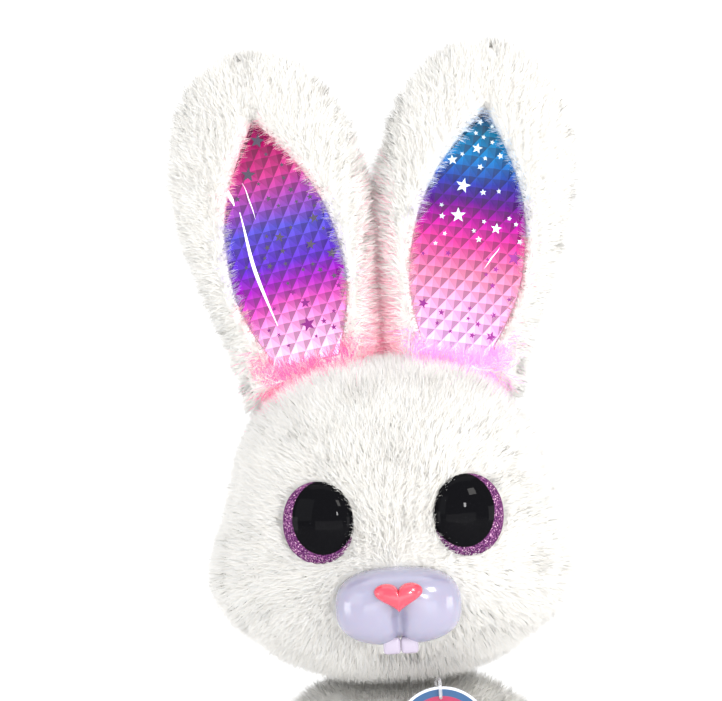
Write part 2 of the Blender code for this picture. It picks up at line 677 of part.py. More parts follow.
def lever_travel(reach):
    return reach * math.sin(EAR_ROCK)


def head_openings():
    """Cutters for everything that passes through the plush and the filling."""
    openings = [rod("neck_opening", (0, 0, HEAD_BOTTOM - 5 * MM), (0, 0, HEAD_Z), NECK_OPENING,
                    sides=24)]
    slot_y = LEVER_HALF[1] + lever_travel(PIVOT_DROP) + 1 * MM
    for name, side in SIDES:
        eye = eye_matrix(side)
        stem = rod(f"eye_stem_way_{name}", (0, 0, -EYE_STEM_LENGTH - 2 * MM), (0, 0, 0),
                   EYE_STEM + GAP, sides=12, matrix=eye)
        seat = rod(f"eye_seat_{name}", (0, 0, -EYE_SEAT - GAP), (0, 0, 12 * MM),
                   EYE_HALF_WIDTH + GAP, sides=20, matrix=eye @ eye_oval())
        pocket = rod(f"washer_room_{name}", (0, 0, -EYE_STEM_LENGTH - 2 * MM),
                     (0, 0, -PLUSH - GAP), WASHER_RADIUS + GAP, sides=16, matrix=eye)
        slot = box(f"ear_slot_{name}", (-LEVER_HALF[0] - 1 * MM, -slot_y, -PIVOT_DROP),
                   (LEVER_HALF[0] + 1 * MM, slot_y, EAR_DROP + 8 * MM), matrix=ear_matrix(side))
        openings += [stem, seat, pocket, slot]
    front = head_front(0, MUZZLE_Z)
    seat = rod("muzzle_seat", (0, front - MUZZLE_STAND + MUZZLE_HALF[1] + GAP, MUZZLE_Z),
               (0, front - 30 * MM, MUZZLE_Z), MUZZLE_SEAT[0], sides=24,
               flat=MUZZLE_SEAT[1] / MUZZLE_SEAT[0])
    boss = rod("muzzle_boss_way", (0, front - 5 * MM, MUZZLE_Z), (0, -20 * MM, MUZZLE_Z),
               MUZZLE_BOSS + GAP, sides=24)
    return openings + [seat, boss]


def eye_oval():
    return Matrix.Diagonal((1, EYE_HALF_HEIGHT / EYE_HALF_WIDTH, 1, 1))


def make_soft_head():
    openings = head_openings()
    skin = head_form("head_skin", 0, FUR)
    cut(skin, head_form("head_room", -PLUSH, segments=18, rings=10), *openings)
    fill = head_form("head_stuffing", -PLUSH - 2 * GAP, FILL, 18, 10)
    cut(fill, shell_form("shell_clear", GAP), *openings)


def make_head_shell():
    middle = SHELL_HALF[0] + 10 * MM
    low, high = HEAD_Z - middle, HEAD_Z + middle
    split = {"head_shell_front": (-GAP / 2, middle), "head_shell_rear": (-middle, GAP / 2)}
    room = shell_form("shell_room", -SHELL_WALL)
    neck = rod("shell_neck_way", (0, 0, SHELL_BOTTOM - 5 * MM), (0, 0, HEAD_Z - 20 * MM),
               NECK_RADIUS + GAP + COLLAR_WALL + GAP, sides=28)
    slot_y = LEVER_HALF[1] + lever_travel(PIVOT_DROP) + 1 * MM
    slots = [box(f"shell_slot_{name}", (-LEVER_HALF[0] - 1 * MM, -slot_y, -PIVOT_DROP + 9 * MM),
                 (LEVER_HALF[0] + 1 * MM, slot_y, 20 * MM), matrix=ear_matrix(side))
             for name, side in SIDES]
    nose_way = rod("shell_nose_way", (0, -60 * MM, MUZZLE_Z), (0, -20 * MM, MUZZLE_Z), 3 * MM,
                   sides=16)
    for name, (near, far) in split.items():
        half = shell_form(name, 0, ABS)
        away = box(f"{name}_away", (-middle, near, low), (middle, far, high))
        cut(half, away, room, neck, nose_way, *slots)


def make_eyes():
    for name, side in SIDES:
        eye = eye_matrix(side)
        oval = eye @ eye_oval()
        bottom = -EYE_SEAT + 2.5 * MM
        iris = rod(f"{name}_eye_iris", (0, 0, -EYE_SEAT), (0, 0, bottom), EYE_HALF_WIDTH - GAP,
                   GLITTER, 20, matrix=oval)
        stem = rod(f"{name}_eye_stem", (0, 0, -EYE_STEM_LENGTH), (0, 0, -EYE_SEAT + 1 * MM),
                   EYE_STEM, sides=16, matrix=eye)
        join(iris, stem)
        lens = ball(f"{name}_eye_lens", (0, 0, bottom + GAP),
                    (EYE_HALF_WIDTH - GAP, EYE_HALF_WIDTH - GAP, EYE_DOME), CLEAR, 2.2, 16, 10,
                    oval)
        wide = EYE_HALF_HEIGHT * 2
        under = box(f"{name}_eye_under", (-wide, -wide, -wide), (wide, wide, bottom + GAP),
                    matrix=eye)
        cut(lens, under)
        washer = ring(f"{name}_eye_washer", WASHER_RADIUS, EYE_STEM + GAP, -PLUSH - 2 * GAP
                      - 1.2 * MM, -PLUSH - 2 * GAP, ABS)
        washer.matrix_world = eye


def heart_outline(width, steps=28):
    """A rounded heart, centred on its own middle height."""
    points = []
    for i in range(steps):
        turn = 2 * math.pi * (i + 0.5) / steps
        x = math.sin(turn) ** 3
        z = (13 * math.cos(turn) - 5 * math.cos(2 * turn) - 2 * math.cos(3 * turn)
             - math.cos(4 * turn)) / 17
        points.append((x * width / 2, (z + 0.12) * width * 0.36))
    return points


def divide_lobes(point):
    """Press a groove down the middle of the muzzle's front, top and bottom."""
    groove = MUZZLE_CLEFT * math.exp(-(point.x / MUZZLE_CLEFT_WIDTH) ** 2)
    return Vector((point.x, point.y * (1 - groove), point.z * (1 - groove * 0.7)))


def make_muzzle():
    front = head_front(0, MUZZLE_Z)
    lobe_y = front - MUZZLE_STAND
    tip = lobe_y - MUZZLE_HALF[1]
    muzzle = ball("muzzle", (0, lobe_y, MUZZLE_Z), MUZZLE_HALF, GLOSS_WHITE, 2.6, 24, 12,
                  shape=divide_lobes)
    boss = rod("muzzle_boss", (0, SHELL_REST_Y, MUZZLE_Z), (0, lobe_y + 1 * MM, MUZZLE_Z),
               MUZZLE_BOSS, sides=22)
    join(muzzle, boss)
    nose_z = MUZZLE_Z + NOSE_RISE
    seat = Matrix.Translation((0, 0, nose_z))
    nose_front = tip - NOSE_PROUD
    nose_back = nose_front + NOSE_THICK
    nose_room = plate("nose_room", heart_outline(NOSE_WIDTH + 2.2 * GAP), nose_front - 5 * MM,
                      nose_back + NOSE_TRAVEL + GAP, matrix=seat)
    switch_front = nose_back + NOSE_TRAVEL + 9 * MM
    stem_way = rod("nose_stem_way", (0, nose_front, nose_z), (0, switch_front + GAP, nose_z),
                   NOSE_STEM + GAP, sides=16)
    half = 3.5 * MM
    switch_room = box("nose_switch_room", (-half - GAP, switch_front - GAP, nose_z - half - GAP),
                      (half + GAP, SHELL_REST_Y + 5 * MM, nose_z + half + GAP))
    cut(muzzle, nose_room, stem_way, switch_room)
    box("nose_switch", (-half, switch_front, nose_z - half),
        (half, switch_front + 3.5 * MM, nose_z + half), DARK)
    nose = plate("nose_button", heart_outline(NOSE_WIDTH), nose_front, nose_back, GLOSS_PINK, seat)
    stem = rod("nose_stem", (0, nose_back - 2 * MM, nose_z),
               (0, switch_front - NOSE_TRAVEL - 2 * GAP, nose_z), NOSE_STEM, sides=16)
    join(nose, stem)
    make_teeth(muzzle, lobe_y)


def make_teeth(muzzle, lobe_y):
    low = MUZZLE_Z - MUZZLE_HALF[2] - 5 * MM
    near = lobe_y - 8 * MM
    teeth = box("teeth", (0.15 * MM, near, low), (TOOTH_WIDTH, near + TOOTH_THICK,
                low + TOOTH_HEIGHT), GLOSS_WHITE, bevel=0.9 * MM)
    second = box("tooth", (-TOOTH_WIDTH, near, low), (-0.15 * MM, near + TOOTH_THICK,
                 low + TOOTH_HEIGHT), bevel=0.9 * MM)
    root = box("tooth_root", (-TOOTH_WIDTH + 1 * MM, near + 1 * MM, low + 2 * MM),
               (TOOTH_WIDTH - 1 * MM, near + TOOTH_THICK - 0.4 * MM, low + TOOTH_HEIGHT - 0.5 * MM))
    join(teeth, second, root)
    room = box("teeth_room", (-TOOTH_WIDTH - GAP, near - 9 * MM, low - GAP),
               (TOOTH_WIDTH + GAP, near + TOOTH_THICK + GAP, low + TOOTH_HEIGHT + GAP))
    cut(muzzle, room)


def shell_front(z, offset):
    share = (z - HEAD_Z) / (SHELL_HALF[2] + offset)
    return -(SHELL_HALF[1] + offset) * math.sqrt(1 - share * share)


SHELL_REST_Y = shell_front(MUZZLE_Z + MUZZLE_BOSS, 2 * GAP)


# ---------------------------------------------------------------- ears

def ear_outline(inset, steps=13):
    """The ear's outline, drawn in by inset: up its +x side and down the other."""
    foot = -16 * MM + inset
    top = EAR_LENGTH - inset
    wide, base = EAR_HALF_WIDTH - inset, EAR_BASE_HALF - inset
    side = []
    for i in range(steps):
        z = foot + (top - foot) * math.sin(math.pi / 2 * i / steps)
        if z < EAR_WIDEST:
            rise = max(z, 0) / EAR_WIDEST
            half = base + (wide - base) * rise * rise * (3 - 2 * rise)
        else:
            rise = (z - EAR_WIDEST) / (top - EAR_WIDEST)
            half = wide * (1 - rise ** 2.2) ** (1 / 2.2)
        side.append((half, z))
    return side + [(0, top)] + [(-x, z) for x, z in reversed(side)]


def ear_depth(z):
    """The ear's half depth at height z, less at its base."""
    share = min(max(z / (45 * MM), 0), 1)
    return EAR_HALF_DEPTH * (EAR_BASE_DEPTH + (1 - EAR_BASE_DEPTH) * share)


def window_outline(grow, steps=12):
    """A leaf with a broad foot and a pointed tip, grown outwards by grow."""
    low, high = WINDOW_LOW - grow, WINDOW_HIGH + 1.6 * grow
    side = []
    for i in range(steps):
        share = i / steps
        if share < WINDOW_WIDEST:
            half = WINDOW_FOOT + (1 - WINDOW_FOOT) * math.sin(math.pi / 2 * share / WINDOW_WIDEST)
        else:
            fall = (share - WINDOW_WIDEST) / (1 - WINDOW_WIDEST)
            half = math.cos(math.pi / 2 * fall ** 1.3)
        side.append(((WINDOW_HALF + grow) * half, low + (high - low) * share))
    return side + [(0, high)] + [(-x, z) for x, z in reversed(side)]


def ear_body(name, matrix):
    """A cushion with a fully rounded edge: rings of the outline from front to back."""
    bands = 4
    bm = bmesh.new()
    rings = []
    for k in range(bands + 1):
        turn = math.pi * (k / bands - 0.5)
        inset = EAR_ROUNDING * (1 - math.cos(turn))
        rings.append([bm.verts.new((x, math.sin(turn) * ear_depth(z), z))
                      for x, z in ear_outline(inset)])
    count = len(rings[0])
    for near, far in zip(rings, rings[1:]):
        for i in range(count):
            j = (i + 1) % count
            bm.faces.new((near[i], near[j], far[j], far[i]))
    bm.faces.new(rings[0])
    bm.faces.new(rings[-1])
    bmesh.ops.triangulate(bm, faces=[f for f in bm.faces if len(f.verts) > 4])
    bmesh.ops.recalc_face_normals(bm, faces=bm.faces)
    return place_bmesh(name, bm, FUR, matrix)


def head_clearance():
    """A body turned about the ears' axis that an ear above it never touches as it rocks."""
    steps, reach = 12, HEAD_HALF_WIDTH + 20 * MM
    profile = []
    for i in range(steps + 1):
        x = reach * (1 - 2 * i / steps)
        rest = 1 - abs(x / HEAD_HALF_WIDTH) ** HEAD_POWER
        rise = HEAD_Z - PIVOT_Z + HEAD_HALF_HEIGHT * max(rest, 0) ** (1 / HEAD_POWER)
        swept = EAR_HALF_DEPTH * EAR_BASE_DEPTH + max(rise, 0) * math.sin(EAR_ROCK)
        rest -= (swept / HEAD_HALF_DEPTH) ** HEAD_POWER
        rise = HEAD_Z - PIVOT_Z + HEAD_HALF_HEIGHT * max(rest, 0) ** (1 / HEAD_POWER)
        nearest = math.hypot(swept, rise) if rise > 0 else 0
        profile.append((max(nearest, HUB_RADIUS) + EAR_GAP, x))
    return across_x("ear_clearance", [(0, reach)] + profile + [(0, -reach)], steps=28,
                    at=(0, 0, PIVOT_Z))


def make_ears():
    """The right ear's skin is cut to shape, and the left one mirrors it."""
    matrix = ear_matrix(-1)
    skin = ear_body("right_ear_skin", matrix)
    tray_room = plate("tray_room", window_outline(TRAY_WALL + 0.6 * MM + GAP),
                      -EAR_HALF_DEPTH - 9 * MM, TRAY_BACK + GAP, matrix=matrix)
    lever_room = box("lever_room", (-LEVER_HALF[0] - GAP, -LEVER_HALF[1] - GAP, -30 * MM),
                     (LEVER_HALF[0] + GAP, LEVER_HALF[1] + GAP, WINDOW_LOW + 5 * MM),
                     matrix=matrix)
    cut(skin, head_clearance(), tray_room, lever_room, solver="MANIFOLD")
    mirrored("left_ear_skin", skin, FUR)
    for name, side in SIDES:
        make_ear_light(name, ear_matrix(side))


def make_ear_light(name, matrix):
    wall_out = TRAY_WALL + 0.6 * MM
    inner = 0.6 * MM
    tray = plate(f"{name}_ear_tray", window_outline(wall_out), WINDOW_Y, TRAY_BACK, ABS, matrix)
    room = plate(f"tray_inside_{name}", window_outline(inner), WINDOW_Y - 5 * MM,
                 TRAY_BACK - TRAY_WALL, matrix=matrix)
    foot = -(HEAD_TOP - EAR_DROP - PIVOT_Z) / math.cos(EAR_LEAN)
    lever = box(f"ear_lever_{name}", (-LEVER_HALF[0], -LEVER_HALF[1], foot),
                (LEVER_HALF[0], LEVER_HALF[1], WINDOW_LOW - inner - 0.4 * MM), matrix=matrix)
    hub_x = matrix @ Vector((0, 0, foot))
    hub = rod(f"ear_hub_{name}", hub_x - Vector((HUB_HALF, 0, 0)), hub_x + Vector((HUB_HALF, 0, 0)),
              HUB_RADIUS, sides=24)
    bore = rod(f"hub_bore_{name}", hub_x - Vector((20 * MM, 0, 0)), hub_x + Vector((20 * MM, 0, 0)),
               SHAFT_RADIUS + GAP, sides=14)
    cut(tray, room)
    join(tray, lever, hub)
    cut(tray, bore)
    film_back = WINDOW_Y + FILM_THICK
    plate(f"{name}_ear_window", window_outline(0.3 * MM), WINDOW_Y, film_back, CLEAR, matrix)
    diffuser_back = film_back + GAP + DIFFUSER_THICK
    plate(f"{name}_ear_diffuser", window_outline(0.3 * MM), film_back + GAP, diffuser_back, GLOW,
          matrix)
    board_back = TRAY_BACK - TRAY_WALL - GAP
    board = box(f"{name}_ear_led_board", (-5 * MM, board_back - BOARD_THICK, WINDOW_LOW + 6 * MM),
                (5 * MM, board_back, WINDOW_HIGH - 30 * MM), BOARD, matrix=matrix)
    lamps = []
    for i in range(4):
        z = WINDOW_LOW + (14 + 17 * i) * MM
        lamps.append(box(f"ear_lamp_{name}_{i}", (-1.8 * MM, board_back - BOARD_THICK - 1 * MM, z),
                         (1.8 * MM, board_back - 0.5 * MM, z + 3.6 * MM), matrix=matrix))
    join(board, *lamps)


# ---------------------------------------------------------------- ear drive

def involute_gear(teeth, first, last, bore_gap):
    """The outline of teeth first to last - 1 of an involute gear; the rest is a plain rim."""
    pitch = GEAR_MODULE * teeth / 2
    base = pitch * math.cos(PRESSURE_ANGLE)
    tip = pitch + ADDENDUM * GEAR_MODULE
    root = pitch - DEDENDUM * GEAR_MODULE
    roll = math.tan(PRESSURE_ANGLE) - PRESSURE_ANGLE
    half = math.pi / (2 * teeth) + roll - TOOTH_PLAY / pitch
    points = []
    flank_steps = 3
    for tooth in range(first, last):
        middle = 2 * math.pi * tooth / teeth
        flank = [(root, half if root < base else None)]
        start = max(base, root)
        for i in range(flank_steps + 1):
            radius = start + (tip - start) * i / flank_steps
            turn = math.acos(min(base / radius, 1))
            flank.append((radius, half - (math.tan(turn) - turn)))
        flank = [(r, a) for r, a in flank if a is not None]
        points += [(r, middle - a) for r, a in flank]
        points += [(r, middle + a) for r, a in reversed(flank)]
    if last - first < teeth:
        start_turn = 2 * math.pi * (last - 0.5) / teeth
        end_turn = 2 * math.pi * (first - 0.5) / teeth + 2 * math.pi
        rim = bore_gap
        points.append((rim, start_turn + 0.3))
        count = 10
        for i in range(count + 1):
            points.append((rim, start_turn + 0.3 + (end_turn - start_turn - 0.6) * i / count))
    return [(r * math.sin(a), -r * math.cos(a)) for r, a in points]


def gear_plate(name, outline, low, high, z, mat=None):
    """An outline in the YZ plane made solid from x = low to x = high."""
    turn = Matrix.Rotation(math.pi / 2, 4, "Z")
    return plate(name, outline, -high, -low, mat, Matrix.Translation((0, 0, z)) @ turn)


def make_ear_drive():
    first = -(SECTOR_TEETH_CUT // 2)
    for name, side in SIDES:
        ends = sorted((side * SHAFT_START, side * (LUG_OUTER + LUG_WIDTH + 1 * MM)))
        shaft = rod(f"{name}_ear_shaft", (ends[0], 0, PIVOT_Z), (ends[1], 0, PIVOT_Z),
                    SHAFT_RADIUS, GEAR, 14)
        faces = sorted((side * SHAFT_START, side * (SHAFT_START + GEAR_WIDTH)))
        sector = gear_plate(f"sector_{name}", involute_gear(SECTOR_TEETH, first,
                            first + SECTOR_TEETH_CUT, SHAFT_RADIUS + 2 * MM), *faces, PIVOT_Z)
        join(shaft, sector)
    wide = SHAFT_START + GEAR_WIDTH + 0.5 * MM
    half_tooth = math.pi / PINION_TEETH
    outline = involute_gear(PINION_TEETH, 0, PINION_TEETH, 0)
    turned_outline = [(y * math.cos(half_tooth) - z * math.sin(half_tooth),
                       y * math.sin(half_tooth) + z * math.cos(half_tooth)) for y, z in outline]
    pinion = gear_plate("motor_pinion", turned_outline, -wide, wide, PINION_Z, GEAR)
    spindle = rod("pinion_spindle", (-MOTOR_FACE + GAP, 0, PINION_Z), (wide - 1 * MM, 0, PINION_Z),
                  1.5 * MM, sides=16)
    join(pinion, spindle)
    motor = rod("ear_motor", (-MOTOR_FACE - MOTOR_LENGTH, 0, PINION_Z), (-MOTOR_FACE, 0, PINION_Z),
                MOTOR_RADIUS, STEEL, 20)
    cap = rod("motor_cap", (-MOTOR_FACE - MOTOR_LENGTH - 2 * MM, 0, PINION_Z),
              (-MOTOR_FACE - MOTOR_LENGTH + 1 * MM, 0, PINION_Z), 4 * MM, sides=20)
    join(motor, cap)
    make_drive_bracket()


def lug_outline(radius, steps=6):
    """An arm from the bracket's back plate with a round end, in the YZ plane."""
    half = [(-radius * math.cos(turn), radius * math.sin(turn))
            for turn in (math.pi * (i / steps - 0.5) for i in range(steps + 1))]
    root = BRACKET_Y + 1 * MM
    return [(root, -radius / 2)] + half + [(root, radius / 2)]


def make_drive_bracket():
    reach = LUG_OUTER + LUG_WIDTH
    plate_reach = LUG_OUTER + LUG_WIDTH / 2
    lug = SHAFT_RADIUS + GAP + LUG_WALL
    low = PINION_Z - MOTOR_RADIUS
    bracket = box("drive_bracket", (-plate_reach, BRACKET_Y, low),
                  (plate_reach, BRACKET_Y + BRACKET_THICK, PIVOT_Z + SHAFT_RADIUS), ABS)
    shared_bore = rod("shaft_bores", (-reach - 5 * MM, 0, PIVOT_Z), (reach + 5 * MM, 0, PIVOT_Z),
                      SHAFT_RADIUS + GAP, sides=14)
    for name, side in SIDES:
        for start in (LUG_INNER, LUG_OUTER):
            ends = sorted((side * start, side * (start + LUG_WIDTH)))
            join(bracket, gear_plate(f"lug_{name}_{start / MM:.0f}", lug_outline(lug), *ends,
                                     PIVOT_Z))
    flange_x = -MOTOR_FACE + GAP
    flange = box("motor_flange", (flange_x, -MOTOR_RADIUS, low),
                 (flange_x + 2 * MM, BRACKET_Y + 1 * MM, PINION_Z + MOTOR_RADIUS))
    spindle_way = rod("spindle_way", (flange_x - 5 * MM, 0, PINION_Z),
                      (flange_x + 5 * MM, 0, PINION_Z), 1.5 * MM + GAP, sides=16)
    join(bracket, flange)
    cut(bracket, shared_bore, spindle_way)


# ---------------------------------------------------------------- hang tag

def make_hang_tag():
    swing = 5 * MM
    low_z = BODY_HEIGHT - 29 * MM
    y = body_front(low_z) - swing - TAG_THICK
    hole_z = low_z + 2 * TAG_RADIUS - TAG_HOLE_INSET
    tag = rod("hang_tag", (TAG_X, y - TAG_THICK, low_z + TAG_RADIUS),
              (TAG_X, y, low_z + TAG_RADIUS), TAG_RADIUS, CARD, 32)
    hole = rod("tag_hole", (TAG_X, y - 5 * MM, hole_z), (TAG_X, y + 5 * MM, hole_z), TAG_HOLE,
               sides=16)
    cut(tag, hole)
    rise = TAG_HOLE_INSET + 1.6 * MM
    back_z = HEAD_BOTTOM - 3.5 * MM
    back_y = body_front(back_z) - 2 * GAP - TAG_LOOP_RADIUS
    mid_y = y - TAG_THICK / 2
    front = [(mid_y - 1.6 * MM, hole_z + 0.4 * MM), (mid_y - 2.2 * MM, hole_z + rise / 2),
             (mid_y - 1.2 * MM, hole_z + rise)]
    route = front + [(mid_y + 6 * MM, hole_z + rise), (back_y - 1 * MM, back_z + 3 * MM),
                     (back_y, back_z), (back_y - 3 * MM, back_z - 1 * MM),
                     (mid_y + 5 * MM, hole_z - 0.6 * MM), (mid_y + 1.5 * MM, hole_z)]
    smooth = closed_curve([Vector((TAG_X, ry, rz)) for ry, rz in route], 3)
    tube("tag_loop", smooth, TAG_LOOP_RADIUS, CLEAR, cyclic=True)


def closed_curve(points, steps):
    """Points on a smooth closed curve through the given ones."""
    out = []
    count = len(points)
    for i in range(count):
        a, b, c, d = (points[(i + k) % count] for k in (-1, 0, 1, 2))
        for j in range(steps):
            t = j / steps
            out.append(0.5 * (2 * b + (c - a) * t + (2 * a - 5 * b + 4 * c - d) * t ** 2
                              + (3 * b - a - 3 * c + d) * t ** 3))
    return out


make_base()
make_battery_bay()
make_power_switch()
make_housing()
make_electronics()
make_neck()
make_soft_body()
make_limbs()
make_soft_head()
make_head_shell()
make_eyes()
make_muzzle()
make_ears()
make_ear_drive()
make_hang_tag()
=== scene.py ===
"""Looks of a sitting plush rabbit whose ears light up: fur, lit ear windows, eyes, muzzle and tag."""

import math

import bmesh
import bpy
import numpy as np
from mathutils import Matrix, Vector
from mathutils.bvhtree import BVHTree


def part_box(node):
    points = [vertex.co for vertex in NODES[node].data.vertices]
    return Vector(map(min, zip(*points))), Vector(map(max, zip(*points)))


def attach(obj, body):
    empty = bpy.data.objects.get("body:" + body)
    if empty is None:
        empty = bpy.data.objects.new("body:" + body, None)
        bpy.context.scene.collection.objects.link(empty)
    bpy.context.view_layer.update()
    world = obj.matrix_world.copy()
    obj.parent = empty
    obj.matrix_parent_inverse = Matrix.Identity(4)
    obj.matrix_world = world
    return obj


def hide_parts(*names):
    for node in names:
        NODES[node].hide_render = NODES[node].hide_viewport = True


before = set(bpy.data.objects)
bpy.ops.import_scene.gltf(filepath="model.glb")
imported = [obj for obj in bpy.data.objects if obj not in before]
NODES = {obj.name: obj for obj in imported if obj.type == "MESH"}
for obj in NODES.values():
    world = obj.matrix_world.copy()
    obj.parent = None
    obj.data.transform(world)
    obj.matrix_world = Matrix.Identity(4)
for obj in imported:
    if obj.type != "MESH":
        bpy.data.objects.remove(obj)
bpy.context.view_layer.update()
MM = 0.001
RNG = np.random.default_rng(11)


def middle(node):
    low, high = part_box(node)
    return (Vector(low) + Vector(high)) / 2


# the pile: roots sit below the CAD surface and tips stand a little before it
ROOT_DEPTH = 2.5 * MM
PILE = 7.0 * MM
BLADE_WIDTH = 0.22 * MM
TUFT, WAVE = 3.2 * MM, 18 * MM          # lengths over which the lie of the pile changes
HEAD_DENSITY, EAR_DENSITY = 5.5, 4.2    # blades in a square millimetre

# the head form that the CAD head follows
HEAD_MIDDLE = Vector((0, 0, 168 * MM))
HEAD_HALF = Vector((60, 57, 60)) * MM
HEAD_POWER = 2.5
CHEEK_SWELL, CHEEK_DROP, CHEEK_SPREAD = 0.21, 25 * MM, 24 * MM

# ears, in a frame whose z runs up the ear from its base
PIVOT = Vector((0, 0, 192 * MM))
EAR_BASE = Vector((27.5, 0, 222)) * MM
EAR_LEAN = math.radians(10)
EAR_LENGTH, EAR_WIDE, EAR_WIDEST, EAR_FOOT = 133 * MM, 37 * MM, 76 * MM, 26 * MM
WINDOW_LOW, WINDOW_HIGH, WINDOW_HALF = 9 * MM, 106 * MM, 22 * MM
WINDOW_WIDEST, WINDOW_FOOT = 0.36, 0.55
FILM_Y = -8.2 * MM
GLOW_Z, GLOW_HALF_HIGH, GLOW_HALF_WIDE, GLOW_FRONT = 4 * MM, 8 * MM, 13 * MM, 11 * MM
CELL_WIDE, CELL_TALL = 6.2 * MM, 8.2 * MM

EYE_YAW = math.radians(16)
EYE_HALF = Vector((13.2, 7.5, 14.7)) * MM
EYE_REST = Vector((26.8 * MM, 0, 171.5 * MM))

MUZZLE_AT = Vector((0, -55 * MM, 141 * MM))
MUZZLE_HALF = Vector((22.5, 14.5, 13.6)) * MM
MUZZLE_POWER = 2.6
NOSE_Z = 145.5 * MM
SIDES = (("left", 1), ("right", -1))


# ---------------------------------------------------------------- materials

def material(name, colour, roughness=0.5, metallic=0.0, **sockets):
    mat = bpy.data.materials.new(name)
    mat.use_nodes = True
    shader = mat.node_tree.nodes["Principled BSDF"]
    shader.inputs["Base Color"].default_value = (*colour, 1)
    shader.inputs["Roughness"].default_value = roughness
    shader.inputs["Metallic"].default_value = metallic
    for key, value in sockets.items():
        shader.inputs[key.replace("_", " ")].default_value = value
    return mat


def shader_of(mat):
    return mat.node_tree.nodes["Principled BSDF"]


def node(mat, kind, **values):
    made = mat.node_tree.nodes.new(kind)
    for key, value in values.items():
        setattr(made, key, value)
    return made


def link(mat, source, target):
    mat.node_tree.links.new(source, target)


def ramp(mat, stops, factor):
    """A colour ramp of (position, colour) stops, driven by factor."""
    made = node(mat, "ShaderNodeValToRGB")
    elements = made.color_ramp.elements
    while len(elements) > 1:
        elements.remove(elements[-1])
    elements[0].position, elements[0].color = stops[0][0], (*stops[0][1], 1)
    for position, colour in stops[1:]:
        elements.new(position).color = (*colour, 1)
    link(mat, factor, made.inputs["Fac"])
    return made.outputs["Color"]


def arithmetic(mat, operation, first, second):
    made = node(mat, "ShaderNodeMath", operation=operation)
    for value, socket in zip((first, second), made.inputs):
        if isinstance(value, (int, float)):
            socket.default_value = value
        else:
            link(mat, value, socket)
    return made.outputs[0]


def plush(name, colour, glow=None, strength=0.0):
    mat = material(name, colour, 0.95, Sheen_Weight=0.25, Sheen_Roughness=0.5,
                   Specular_IOR_Level=0.15)
    # a glow colour makes the fur emit: painted light cast by the lit ears
    if glow:
        shader_of(mat).inputs["Emission Color"].default_value = (*glow, 1)
        shader_of(mat).inputs["Emission Strength"].default_value = strength
    return mat


def speckled_plush():
    """The backing cloth under the pile: off-white with a faint mottle."""
    mat = plush("plush_backing", (0.88, 0.87, 0.84))
    noise = node(mat, "ShaderNodeTexNoise")
    noise.inputs["Scale"].default_value = 220
    link(mat, ramp(mat, [(0.3, (0.86, 0.845, 0.815)), (0.7, (0.93, 0.92, 0.89))], noise.outputs["Fac"]),
         shader_of(mat).inputs["Base Color"])
    return mat


def lit_film(name, stops, strengths):
    """Emission that changes up the ear, with painted shading: the facets that face up and to one side
    glow brighter, the others darker.
    """
    mat = material(name, (0.012, 0.008, 0.016), 0.25, Specular_IOR_Level=0.1, Coat_Weight=0.25,
                   Coat_Roughness=0.05)
    place = node(mat, "ShaderNodeTexCoord")
    split = node(mat, "ShaderNodeSeparateXYZ")
    link(mat, place.outputs["Object"], split.inputs[0])
    noise = node(mat, "ShaderNodeTexNoise")
    noise.inputs["Scale"].default_value = 45
    link(mat, place.outputs["Object"], noise.inputs["Vector"])
    wobble = arithmetic(mat, "MULTIPLY", arithmetic(mat, "SUBTRACT", noise.outputs["Fac"], 0.5), 0.1)
    rise = arithmetic(mat, "SUBTRACT", split.outputs["Z"], WINDOW_LOW)
    share = arithmetic(mat, "ADD", arithmetic(mat, "DIVIDE", rise, WINDOW_HIGH - WINDOW_LOW), wobble)
    colour = ramp(mat, stops, share)
    power = ramp(mat, [(at, (level,) * 3) for at, level in strengths], share)
    facing = node(mat, "ShaderNodeNewGeometry")
    local = node(mat, "ShaderNodeVectorTransform", vector_type="NORMAL",
                 convert_from="WORLD", convert_to="OBJECT")
    link(mat, facing.outputs["True Normal"], local.inputs[0])
    tilt = node(mat, "ShaderNodeSeparateXYZ")
    link(mat, local.outputs[0], tilt.inputs[0])
    # painted shading: each facet's glow is scaled by which way it faces
    facet_painted_shade = arithmetic(mat, "ADD", tilt.outputs["Z"],
                       arithmetic(mat, "MULTIPLY", tilt.outputs["X"], -0.45))
    facet_painted_shade = arithmetic(mat, "ADD", facet_painted_shade, 1.0)
    level = arithmetic(mat, "MULTIPLY", arithmetic(mat, "MULTIPLY", power, facet_painted_shade), 1.8)
    link(mat, colour, shader_of(mat).inputs["Emission Color"])
    link(mat, level, shader_of(mat).inputs["Emission Strength"])
    return mat


